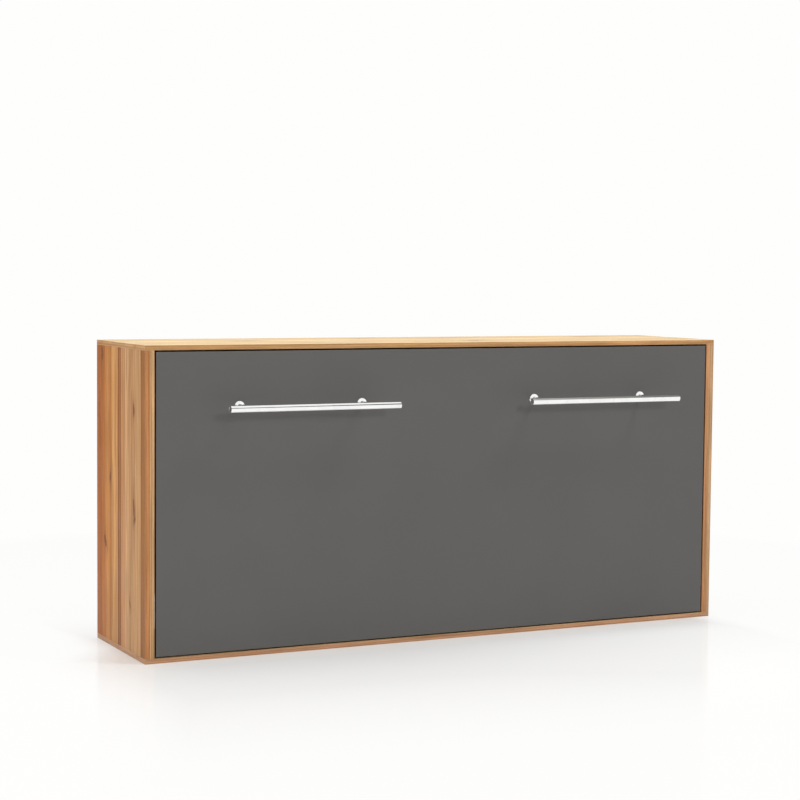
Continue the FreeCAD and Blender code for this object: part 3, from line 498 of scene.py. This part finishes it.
finishes = {"front_panel": makeLacquer("greyLacquer", "front_panel")}
for board in (("bottom_panel", "bottomPlanks", "topStaves", None, "bottom", 51.0),
              ("top_panel", "topPlanks", "topStaves", "topKnots", "top", 3.0),
              ("left_outer_side", "leftPlanks", "sideStaves", "leftKnots", "outer", 11.0),
              ("left_inner_side", "leftInnerPlanks", "sideStaves", None, "innerLeft", 17.0),
              ("right_outer_side", "rightPlanks", "sideStaves", "rightKnots", "outerRight", 23.0),
              ("right_inner_side", "rightInnerPlanks", "sideStaves", None, "innerRight", 29.0)):
    finishes[board[0]] = makeLaminate(*board)
pineLong = makeTimber("pineLengthwise", "pine", 0, 9.0)
pineUpright = makeTimber("pineUpright", "pine", 2, 13.0)
bySlot = {slotName: makeHardFinish(slotName) for slotName in hardLook}
bySlot["inner_board"] = makeTimber("innerBoard", "inner", 0, 5.0)
bySlot["birch"] = makeTimber("birchVeneers", "birch", 2, 21.0, plies=0.003)
bySlot["ticking"] = makeTicking("ticking")
bySlot["webbing"] = makeWebbing("webbing")
slotOf = {part["node"]: part["material_slot"] for part in frame["record"]["subparts"]}
for nodeName, cadObject in cadNodes.items():
    slotName = slotOf[nodeName]
    if slotName == "pine":
        chosen = pineUpright if "end_rail" in nodeName or "batten" in nodeName else pineLong
    else:
        chosen = finishes.get(nodeName) or bySlot[slotName]
    for slot in cadObject.material_slots:
        slot.material = chosen
print("materials placed on the CAD nodes")


def columns(*parts):  # the parts side by side, each repeated to the longest
    return np.stack(np.broadcast_arrays(*parts), -1)


def circle(count):  # angles of a full turn
    return np.linspace(0, 2 * math.pi, count, endpoint=False)


def quadCorners(table):  # the four corners of each cell in a table of points
    return np.stack([table[:-1, :-1], table[1:, :-1], table[1:, 1:], table[:-1, 1:]], 2)


def gridQuads(shape, wrapRows, wrapColumns):
    # point numbers of a grid's cells; a wrapped way also joins its last row to its first
    index = np.arange(shape[0] * shape[1]).reshape(shape[:2])
    return quadCorners(np.pad(index, ((0, wrapRows), (0, wrapColumns)), mode="wrap")).reshape(-1, 4)


def newPiece(name, points, quads):
    mesh = bpy.data.meshes.new(name)
    mesh.from_pydata(points.reshape(-1, 3).tolist(), [], quads.tolist())
    piece = bpy.data.objects.new(name, mesh)
    scene.collection.objects.link(piece)
    return piece, mesh


def shell(name, grids, body, slotName, stands=(), smooth=40, material=None):
    # each grid is (points[m, n, 3], wraps first way, wraps second way, chart or None); a chart holds a map
    # place for each point, with one more row or column where the grid wraps
    points, quads, charts, offset = [], [], [], 0
    for grid, wrapRows, wrapColumns, chart in grids:
        quads.append(gridQuads(grid.shape, wrapRows, wrapColumns) + offset)
        points.append(grid.reshape(-1, 3))
        if chart is not None:
            charts.append(quadCorners(chart).reshape(-1, 2))
        offset += len(points[-1])
    piece, mesh = newPiece(name, np.vstack(points), np.vstack(quads))
    if charts:
        layer = mesh.uv_layers.new(name="lay")
        layer.data.foreach_set("uv", np.vstack(charts).astype(np.float32).reshape(-1))
    work = bmesh.new()
    work.from_mesh(mesh)
    bmesh.ops.remove_doubles(work, verts=work.verts, dist=0.000002)
    bmesh.ops.recalc_face_normals(work, faces=work.faces)
    work.to_mesh(mesh)
    work.free()
    mesh.shade_smooth()
    mesh.set_sharp_from_angle(angle=math.radians(smooth))
    mesh.materials.append(material or bySlot[slotName])
    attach(piece, body)
    if stands:
        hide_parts(*stands)
    return piece


def lathe(profile, centre, axis, segments=48, closed=False):
    # point = centre + axis * height + radius * (across * cos + other * sin), for each (radius, height)
    profile = np.array(profile, float)
    axis = np.array(axis, float)
    across = np.roll(np.abs(axis), 1)
    other = np.cross(axis, across)
    angle = circle(segments)[:, None]
    ring = np.cos(angle) * across + np.sin(angle) * other
    grid = np.array(centre) + profile[:, 1, None, None] * axis + profile[:, 0, None, None] * ring
    return grid, closed, True, None


def arc(centre, radius, start, end, steps):
    # points on a circle, as (first, second) pairs, from one angle to another in degrees
    angle = np.radians(np.linspace(start, end, steps))
    return columns(centre[0] + radius * np.cos(angle), centre[1] + radius * np.sin(angle))


def oval(halfWidth, halfHeight, power=2.5, count=24):
    # superellipse: |first / halfWidth|^power + |second / halfHeight|^power = 1
    cos, sin = np.cos(circle(count)), np.sin(circle(count))
    return columns(halfWidth * np.sign(cos) * abs(cos) ** (2 / power),
                   halfHeight * np.sign(sin) * abs(sin) ** (2 / power))


def sweep(path, sideways, upward, profile, closed=False):
    # point = path + sideways * first + upward * second; an open sweep is shut by its ends, shrunk to the path
    path, sideways, upward = (np.broadcast_to(np.array(part, float), path.shape)
                              for part in (path, sideways, upward))
    track = np.vstack([path, path[:1]]) if closed else path
    run = np.concatenate([[0], np.cumsum(np.linalg.norm(np.diff(track, axis=0), axis=1))])
    grid = path[:, None] + sideways[:, None] * profile[None, :, :1] + upward[:, None] * profile[None, :, 1:]
    chart = columns(run[:, None], np.append(profile[:, 0], profile[0, 0])[None])
    if not closed:
        ends = [np.broadcast_to(path[i], (1,) + grid.shape[1:]) for i in (0, -1)]
        grid = np.concatenate([ends[0], grid, ends[1]])
        chart = np.concatenate([chart[:1], chart, chart[-1:]])
    return grid, closed, True, chart


def roundedLoop(halfWidth, halfHeight, radius, spans, steps=8):
    # a rectangle with round corners, as points and outward directions, anticlockwise: quarter circles,
    # joined by straight sides of spans[0] parts along the width and spans[1] along the height
    corners, directions = [], []
    for turn, (sx, sy) in enumerate(((1, 1), (-1, 1), (-1, -1), (1, -1))):
        centre = (sx * (halfWidth - radius), sy * (halfHeight - radius))
        corners.append(arc(centre, radius, turn * 90, turn * 90 + 90, steps))
        directions.append(arc((0, 0), 1, turn * 90, turn * 90 + 90, steps))
    points, outward = [], []
    for turn in range(4):
        start, end = corners[turn][-1], corners[(turn + 1) % 4][0]
        share = np.linspace(0, 1, spans[turn % 2] + 1)[1:-1, None]
        points += [corners[turn], start + (end - start) * share]
        outward += [directions[turn], np.broadcast_to(directions[turn][-1], (len(share), 2))]
    return np.vstack(points), np.vstack(outward)


handleSizes = {"starts": {"left": -0.851, "right": 0.251}, "length": 0.6, "bar": 0.012, "bore": 0.0105,
               "rim": 0.0003, "lip": 0.0002, "clear": 0.0012, "face": -0.25, "reach": 0.127, "height": 0.82,
               "posts": (-0.770, -0.332, 0.332, 0.770), "post": 0.007, "hole": 0.0072, "flange": 0.018,
               "flangeDepth": 0.004}


def makeHandles():
    size = handleSizes
    names = ("length", "bar", "bore", "rim", "lip", "face", "height")
    length, bar, bore, rim, lip, face, barZ = (size[name] for name in names)
    barY = face - size["reach"]
    # rim from the bore outwards, along the bar, and the same rim turned round at the other end
    near = np.vstack([[[bore, 0.0042]], arc((bore + lip, lip), lip, 180, 270, 4),
                      [[bore + 0.0003, 0], [bar - rim - 0.0001, 0]], arc((bar - rim, rim), rim, 270, 360, 7)])
    far = near[::-1] * [1, -1] + [0, length]
    between = columns(bar, np.linspace(size["clear"], length - size["clear"], 9))
    plug = bore - 0.00005
    cap = [[0, 0.0], [0.0040, 0.0], [plug - 0.0010, 0.0], [plug - 0.0003, 0.0001], [plug, 0.0004],
           [plug, 0.0098], [0, 0.0100]]
    caps, posts, flanges = [], [], []
    for side, start in size["starts"].items():
        tube = lathe(np.vstack([near, between, far]), (start, barY, barZ), (1, 0, 0), 72, closed=True)
        shell(f"{side}BarTube", [tube], "bed", "chrome", [f"{side}_handle_bar"])
        for end, way in ((start + lip, 1), (start + length - lip, -1)):
            caps.append(lathe(cap, (end, barY, barZ), (way, 0, 0)))
    # the post ends on the bar: its reach shrinks to sqrt(bar^2 - z^2) from the bar's axis
    share = np.array([0.0, 0.02, 0.5, 0.98, 1.0])[:, None]
    dx, dz = size["post"] * np.cos(circle(48)), size["post"] * np.sin(circle(48))
    run = size["reach"] - np.sqrt(bar ** 2 - dz ** 2) + 0.0006
    # domed: height = depth - width * (0.10 s + 0.04 s^2), s from 0 at the post to 1 at the rim
    s = np.linspace(0, 1, 12)
    width = size["flange"] - size["hole"] - lip
    dome = columns(size["hole"] + (width - 0.0006) * s,
                   size["flangeDepth"] - width * (0.10 * s + 0.04 * s ** 2))
    rosette = np.vstack([[[size["hole"], 0.0]], dome, [[0.0174, 0.0023], [0.0177, 0.0020], [0.0179, 0.0016]],
                         [[size["flange"], 0.0012], [size["flange"], 0.0]]])
    for x in size["posts"]:
        tips = [np.broadcast_to([x, y, barZ], (1, 48, 3)) for y in (face, barY + 0.0111)]
        ring = columns(x + dx, face - share * run, barZ + dz)
        posts.append((np.concatenate([tips[0], ring, tips[1]]), False, True, None))
        flanges.append(lathe(rosette, (x, face, barZ), (0, -1, 0), 64, closed=True))
    shell("barEndCaps", caps, "bed", "chrome", ["handle_end_caps"])
    shell("barPosts", posts, "bed", "chrome", ["handle_posts"])
    shell("postRosettes", flanges, "bed", "chrome", ["handle_flanges"])


makeHandles()
print("handles made")


screwSizes = {"head": 0.0045, "shank": 0.0022, "length": 0.015, "arm": 0.00055, "reach": 0.0025,
              "depth": 0.0017,
              # the plates' faces and the screws' places on them, as (y, z)
              "sideFace": 1.055, "sidePlaces": [(y, z) for y in (-0.232, -0.166) for z in (0.121, 0.217)]
              + [(-0.160, 0.416), (-0.160, 0.472)],
              "boxFace": 1.024, "boxPlaces": [(-0.1357, z) for z in np.linspace(0.066, 0.242, 4)]}


def screwGrid(at, axis):
    # head with a cross recess: depth falls in where the smaller of |u|, |v| is under the arm's half width
    size = screwSizes
    radii = np.array([0.0, 0.0005, 0.0008, 0.0012, 0.0017, 0.0022, 0.0026, 0.0030, 0.0038, 0.0043,
                      size["head"]])[:, None]
    u, v = radii * np.cos(circle(40)), radii * np.sin(circle(40))
    thin = np.clip((size["arm"] * 1.6 - np.minimum(abs(u), abs(v))) / (size["arm"] * 0.8), 0, 1)
    ends = np.clip((size["reach"] - radii) / 0.0005, 0, 1)
    sunk = size["depth"] * thin * ends * (1 - 0.25 * radii / size["reach"])
    sunk[-1] += 0.0002
    body = [[size["shank"], size["head"] - size["shank"]], [size["shank"], size["length"] - 0.004],
            [0.0, size["length"]]]
    grid, *rest = lathe(np.vstack([np.hstack([radii, 0 * radii]), body]), at, axis, 40)
    grid[:len(radii)] += sunk[:, :, None] * np.array(axis, float)
    return grid, *rest


def makeScrews():
    for name, body, turn in (("side", "cabinet", 1), ("box", "bed", -1)):
        screws = [screwGrid((way * screwSizes[name + "Face"], y, z), (way * turn, 0, 0))
                  for way in (-1, 1) for y, z in screwSizes[name + "Places"]]
        shell(f"{name}PlateScrews", screws, body, "zinc_steel", [f"{body}_plate_screws"])


makeScrews()
print("screws made")


mattressSizes = {"half": (1.0, 0.09, 0.45), "middle": (0.0, -0.1037, 0.51), "corner": 0.040,
                 "cells": (144, 12, 64), "quilt": 8, "inset": 0.007, "panelDrop": 0.0075, "rimDrop": 0.013,
                 "rimWidth": 0.07, "near": 0.0004, "pressure": 90.0, "cap": 0.0105, "frames": 20,
                 "quickMove": 0.005, "tape": (0.0075, 0.0040)}
mattressHalf = np.array(mattressSizes["half"]) - np.array([1, 0, 1]) * mattressSizes["inset"]


def mattressStart():
    # box grid whose panels drop towards the rim: depth = panelDrop + (rimDrop - panelDrop) * closeness^3
    size, half = mattressSizes, mattressHalf
    lines = [np.linspace(-1, 1, count + 1) for count in size["cells"]]
    shaped = []
    for axis, way in ((axis, way) for axis in range(3) for way in (-1, 1)):
        first, second = [a for a in range(3) if a != axis]
        p, q = np.meshgrid(lines[first], lines[second], indexing="ij")
        unit = np.empty(p.shape + (3,))
        unit[..., first], unit[..., second], unit[..., axis] = p, q, way
        flat = unit * half
        # square corner to round corner in the plan: the offset from the corner's centre keeps its larger part
        core = np.clip(flat, -(half - size["corner"]), half - size["corner"])
        off = (flat - core)[..., [0, 2]]
        length = np.linalg.norm(off, axis=-1, keepdims=True)
        both = (abs(off) > 1e-9).all(-1, keepdims=True)
        scaled = off * np.max(abs(off), axis=-1, keepdims=True) / np.maximum(length, 1e-9)
        flat[..., [0, 2]] = core[..., [0, 2]] + np.where(both, scaled, off)
        rim = np.maximum(*((abs(unit[..., i]) - 1) * half[i] for i in (0, 2)))
        close = np.clip(1 + rim / size["rimWidth"], 0, 1) ** 3
        drop = size["panelDrop"] + (size["rimDrop"] - size["panelDrop"]) * close
        flat[..., 1] = unit[..., 1] * (half[1] - drop)
        shaped.append(flat + size["middle"])
    return shaped


def pointsOf(mesh):
    flat = np.empty(len(mesh.vertices) * 3)
    mesh.vertices.foreach_get("co", flat)
    return flat.reshape(-1, 3)


def makeMattress():
    size, half = mattressSizes, mattressHalf
    grids = [(grid, False, False, None) for grid in mattressStart()]
    piece = shell("mattressCore", grids, "bed", "ticking", ["mattress"], smooth=180)
    mesh = piece.data
    start = pointsOf(mesh)
    # rows of the quilting: whole cells counted from one side of the mattress
    offset = start - size["middle"]
    across, upward = (np.round((offset[:, i] / half[i] + 1) / 2 * size["cells"][i]).astype(int)
                      for i in (0, 2))
    depth = abs(offset[:, 1])
    rimDepth = half[1] - size["rimDrop"]
    onPanel = depth > rimDepth + size["near"]
    stitched = ((across + upward) % size["quilt"] == 0) | ((across - upward) % size["quilt"] == 0)
    onRim = abs(depth - rimDepth) <= size["near"]
    layer = rimDepth * 2 / size["cells"][1]
    channel = (depth < rimDepth - 0.001) & (abs((depth / layer) - 2) < 0.3)
    pinned = (onPanel & stitched) | onRim | channel
    group = piece.vertex_groups.new(name="stitches")
    group.add(np.nonzero(pinned)[0].tolist(), 1.0, "REPLACE")
    cloth = piece.modifiers.new("padding", "CLOTH")
    cloth.settings.use_pressure = True
    cloth.settings.uniform_pressure_force = size["pressure"]
    cloth.settings.vertex_group_mass = "stitches"
    cloth.settings.effector_weights.gravity = 0.0
    cloth.settings.quality = 4
    cloth.point_cache.frame_start, cloth.point_cache.frame_end = 1, size["frames"]
    for number in range(1, size["frames"] + 1):
        scene.frame_set(number)
    moved = pointsOf(piece.evaluated_get(bpy.context.evaluated_depsgraph_get()).to_mesh())
    piece.modifiers.remove(cloth)
    scene.frame_set(1)
    shift = moved - start
    far = np.linalg.norm(shift, axis=1, keepdims=True)
    print(f"mattress: largest move {far.max() * 1000:.1f} mm, mean {far[~pinned].mean() * 1000:.2f} mm")
    moved = start + shift * np.minimum(1, size["cap"] / np.maximum(far, 1e-9))
    low, high = (np.array(size["middle"]) + way * np.array(size["half"]) for way in (-1, 1))
    mesh.vertices.foreach_set("co", np.clip(moved, low, high).reshape(-1))
    piece.vertex_groups.clear()
    finer = piece.modifiers.new("finer", "SUBSURF")
    finer.levels = finer.render_levels = 1


makeMattress()


def makeTapeEdges():
    # bound tape round both rims: an oval leaning at 45 degrees, carried round the mattress's outline
    size, half = mattressSizes, mattressHalf
    loop, outward = roundedLoop(half[0], half[2], size["corner"] - size["inset"], (96, 40))
    away = columns(outward[:, 0], 0, outward[:, 1])
    grids = []
    for way in (-1, 1):
        level = way * (half[1] - size["rimDrop"] + 0.001)
        path = columns(loop[:, 0], level, loop[:, 1]) + size["middle"]
        leaning = [(away + [0, turn * way, 0]) / math.sqrt(2) for turn in (-1, 1)]
        grids.append(sweep(path, *leaning, oval(*size["tape"], 2.6, 20), closed=True))
    shell("tapeEdges", grids, "bed", "ticking", smooth=60, material=makeWebbing("tapeEdge"))


makeTapeEdges()
print("mattress made")


strapSizes = {"places": (-0.52, 0.52), "half": 0.020, "thick": 0.0015, "middle": 0.51, "reach": 0.45105,
              "level": -0.01265, "bend": 0.02075, "tail": -0.1237, "fold": 0.0011, "hem": (0.090, 0.108),
              "hemLevel": -0.0102, "buckle": 0.690, "frame": (0.022, 0.026, 0.007), "frameLevel": -0.0070,
              "frameHalf": (0.0040, 0.0033), "bar": 0.020, "barLevel": -0.0078, "barHalf": (0.0055, 0.0022),
              # the free end's way under, over and under the buckle, as (height from it, level)
              "freeEnd": [(-0.0302, -0.0111), (-0.024, -0.0110), (-0.017, -0.0104), (-0.010, -0.0070),
                          (-0.004, -0.0045), (0.004, -0.0045), (0.010, -0.0070), (0.017, -0.0104),
                          (0.024, -0.0110), (0.04, -0.0111), (0.108, -0.0111)]}


def ribbon(path, x, half, thick):
    # webbing lies across X; its upward side is square to the path, in the YZ plane
    tangent = np.gradient(path, axis=0)
    tangent /= np.linalg.norm(tangent, axis=1, keepdims=True)
    upward = columns(0, -tangent[:, 1], tangent[:, 0])
    return sweep(columns(x, path[:, 0], path[:, 1]), (1, 0, 0), upward, oval(half, thick / 2, 5.0, 28))


def makeStraps():
    size = strapSizes
    bend, level, buckle = size["bend"], size["level"], size["buckle"]
    low, high = size["middle"] - size["reach"], size["middle"] + size["reach"]
    # up one tail, round a quarter circle, along the mattress's face, round a second one and back
    tails = np.linspace(size["tail"], level - bend, 14)[:-1]
    face = np.linspace(low + bend, high - bend, 120)[1:-1]
    path = np.vstack([columns(tails, low), arc((level - bend, low + bend), bend, -90, 0, 12),
                      columns(level, face), arc((level - bend, high - bend), bend, 0, 90, 12),
                      columns(tails[::-1], high)])
    steps = np.array(size["freeEnd"])
    along = np.linspace(steps[0, 0], steps[-1, 0], 90)
    free = np.interp(along, steps[:, 0], steps[:, 1])
    free = np.convolve(np.pad(free, 3, mode="edge"), np.ones(7) / 7, "valid")
    hem = columns(size["hemLevel"], buckle + np.linspace(*size["hem"], 8))
    narrow = size["half"] - 0.0008
    loop, outward = roundedLoop(*size["frame"], (3, 3), 6)
    away = columns(outward[:, 0], 0, outward[:, 1])
    straps, buckles = [], []
    for x in size["places"]:
        straps += [ribbon(path, x, size["half"], size["thick"]),
                   ribbon(columns(free, buckle + along), x, narrow, size["fold"]),
                   ribbon(hem, x, narrow, size["fold"] - 0.0001)]
        ring = columns(x + loop[:, 0], size["frameLevel"], buckle + loop[:, 1])
        buckles.append(sweep(ring, away, (0, 1, 0), oval(*size["frameHalf"], 3.0, 20), closed=True))
        bar = columns(np.linspace(x - size["bar"], x + size["bar"], 9), size["barLevel"], buckle)
        buckles.append(sweep(bar, (0, 0, 1), (0, 1, 0), oval(*size["barHalf"], 3.0, 20)))
    shell("mattressStraps", straps, "bed", "webbing", ["mattress_straps"], smooth=60)
    shell("strapBuckles", buckles, "bed", "black_plastic", ["strap_buckles"])


makeStraps()
print("straps made")


slatSizes = {"count": 16, "first": -0.934, "last": 0.934, "half": (0.030, 0.004), "bow": 0.0035, "low": 0.058,
             "high": 0.962, "tuck": 0.002, "level": -0.2017, "cap": 0.026, "capHalf": (0.0312, 0.0058),
             "capLevel": -0.2000}


def makeSlats():
    # each slat is a flat oval carried upwards; it bows by bow * (1 - (2t - 1)^2) between its two end caps
    size = slatSizes
    share = np.linspace(0, 1, 25)
    height = np.linspace(size["low"] + size["tuck"], size["high"] - size["tuck"], 25)
    depth = size["level"] + size["bow"] * (1 - (2 * share - 1) ** 2)
    slats, caps = [], []
    for x in np.linspace(size["first"], size["last"], size["count"]):
        slats.append(sweep(columns(x, depth, height), (1, 0, 0), (0, 1, 0), oval(*size["half"], 9.0, 24)))
        for start, way in ((size["low"], 1), (size["high"], -1)):
            z = start + way * np.array([0.0, 0.0012, size["cap"] * 0.5, size["cap"] - 0.001, size["cap"]])
            path = columns(x, size["capLevel"], z)
            grid, *rest = sweep(path, (1, 0, 0), (0, 1, 0), oval(*size["capHalf"], 6.0, 20))
            centre = path[[0, 0, 1, 2, 3, 4, 4]][:, None]
            shrink = np.array([1, 0.94, 1, 1, 1, 0.94, 1])[:, None, None]
            caps.append((centre + (grid - centre) * shrink, *rest))
    shell("bowedSlats", slats, "bed", "birch", ["slats"])
    shell("slatEndCaps", caps, "bed", "rubber")


makeSlats()
print("slats made")


studio = {
    "lens": 87.07, "yaw": 26.402, "pitch": 3.877, "roll": 0.515, "eye": (-3.0827, -6.0777, 1.2684),
    "air": 0.30, "white": (254, 254, 253), "floorTone": (248, 247, 245),
    # how far the floor turns white: to the left, to the right beside and before the bed, behind, at the ends
    "floorGlow": (0.16, 0.25, 0.65), "backGlow": 0.9, "sideGlow": 0.93,
    # name: place, target, size, watts
    "lamps": {"overhead": ((-0.4, 0.5, 5.6), (0.0, 0.0, 0.5), 4.2, 160.0),
              "keyRight": ((2.4, -2.7, 5.2), (0.2, -0.2, 0.5), 1.5, 90.0),
              "front": ((-0.5, -6.6, 2.5), (0.0, -0.2, 0.5), 0.8, 96.0),
              "fillLeft": ((-5.4, -1.0, 2.2), (-0.9, 0.0, 0.5), 2.4, 104.0)},
    # a dark joint between two white screens, mirrored as a line along the left chrome bar, and a flag
    # overhead, mirrored along the top of the right one
    "joint": {"low": (0.40, 0.48), "high": (0.72, 0.64), "wider": 0.10, "level": 0.06,
              "side": (0.49, 0.46), "above": (0.60, 0.86)},
    "flag": 0.30,  # level of the unlit screen at the left, seen by reflections alone
}


def makeStudio():
    look = studio
    yaw, pitch, roll = (math.radians(look[name]) for name in ("yaw", "pitch", "roll"))
    forward = Vector((math.sin(yaw) * math.cos(pitch), math.cos(yaw) * math.cos(pitch), -math.sin(pitch)))
    right = Vector((math.cos(yaw), -math.sin(yaw), 0))
    up = right.cross(forward)
    right, up = (right * math.cos(roll) + up * math.sin(roll), up * math.cos(roll) - right * math.sin(roll))
    camera = bpy.data.objects.new("studioCamera", bpy.data.cameras.new("studioCamera"))
    camera.data.lens = look["lens"]
    camera.data.sensor_width = 36
    camera.data.clip_end = 200
    turn = Matrix((right, up, -forward)).transposed()
    camera.matrix_world = Matrix.Translation(Vector(look["eye"])) @ turn.to_4x4()
    scene.collection.objects.link(camera)
    scene.camera = camera
    for name, (place, target, width, power) in look["lamps"].items():
        lamp = bpy.data.lights.new(name, "AREA")
        lamp.size, lamp.energy = width, power
        holder = bpy.data.objects.new(name, lamp)
        holder.location = place
        holder.rotation_euler = (Vector(target) - Vector(place)).to_track_quat("-Z", "Y").to_euler()
        holder.visible_glossy = False  # gloss mirrors the white screens, not the lamps
        scene.collection.objects.link(holder)
    world = bpy.data.worlds.new("studioAir")
    scene.world = world
    world.use_nodes = True
    tree = world.node_tree
    tree.nodes.clear()
    path = named(addNode(tree, "LightPath"))
    glossy = path["Is Glossy Ray"]
    seen = largest(path["Is Camera Ray"], glossy, path["Is Transmission Ray"])
    joint = look["joint"]
    x, y, z = axes(named(addNode(tree, "TexCoord"))["Generated"])
    wider = ease(x, 0.38, 0.45, 0.0, joint["wider"])
    band = ease(z, *joint["low"]) * ease(z - wider, *joint["high"]) * ease(x, *joint["side"])
    band = band * ease(y, 0.05, -0.05) * glossy
    above = ease(y, -0.66, -0.52) * ease(z, 0.46, 0.60) * ease(x, *reversed(joint["side"]))
    above = above * ease(x, 0.49, 0.57, *joint["above"]) * glossy
    level = tone(*look["white"])
    for factor, dark in ((band, joint["level"]), (above, joint["level"]),
                         (ease(x, -0.10, -0.35) * glossy, look["flag"])):
        level = blendTone(factor, level, (dark,) * 3 + (1.0,))
    plain = termOf(tree, "Background", {"Color": (1, 1, 1, 1), "Strength": look["air"]})
    white = termOf(tree, "Background", {"Color": level, "Strength": 1.0})
    addNode(tree, "OutputWorld", {"Surface": termOf(tree, "MixShader", {0: seen, 1: plain, 2: white})})
    scene.view_settings.view_transform = "Standard"


def makeFloor():
    # a disc of floor with a painted white glow, seen by the camera and in reflections: it fades in far from
    # the bed, and also beside and behind it, where it washes out the bed's shadow
    radius = np.array([0.0, 1.5, 3.0, 6.0, 12.0, 40.0])[:, None]
    points = columns(radius * np.cos(circle(96)), radius * np.sin(circle(96)), 0)
    floor, mesh = newPiece("studioFloor", points, gridQuads(points.shape, False, True))
    plain = {"Specular_IOR_Level": 0.06, "Base_Color": tone(*studio["floorTone"])}
    material, shader, place, _ = newMaterial("studioFloor", 0.12, **plain)
    x, y, _ = axes(place)
    away = calc("SQRT", x * x + y * y)
    left, *right = studio["floorGlow"]
    back, side = studio["backGlow"], studio["sideGlow"]
    fade = largest(ease(away, 1.2, 3.0), ease(x, -0.4, 1.1, left, ease(y, -0.25, -0.50, *right)),
                   ease(y, -0.30, 0.7, 0.0, back), ease(y, -0.45, -1.7, 0.0, back),
                   ease(abs(x), 1.0, ease(y, 0.10, -0.25, 1.22, 1.5), 0.0, side),
                   ease(x, 0.9, 1.15, 0.0, side))
    tree = material.node_tree
    path = named(addNode(tree, "LightPath"))
    lit = ease(x, -1.2, -2.2, 1.0, studio["flag"])
    seen = largest(path["Is Camera Ray"], path["Is Glossy Ray"] * lit, path["Is Transmission Ray"])
    glow = termOf(tree, "Emission", {"Color": tone(*studio["white"]), "Strength": 1.0})
    mixed = termOf(tree, "MixShader", {0: fade * seen, 1: Term(shader.outputs[0]), 2: glow})
    output = next(node for node in tree.nodes if node.type == "OUTPUT_MATERIAL")
    feed(output.inputs["Surface"], mixed)
    mesh.materials.append(material)


makeStudio()
makeFloor()
print("studio made")

bpy.context.view_layer.update()
print("all pieces made")
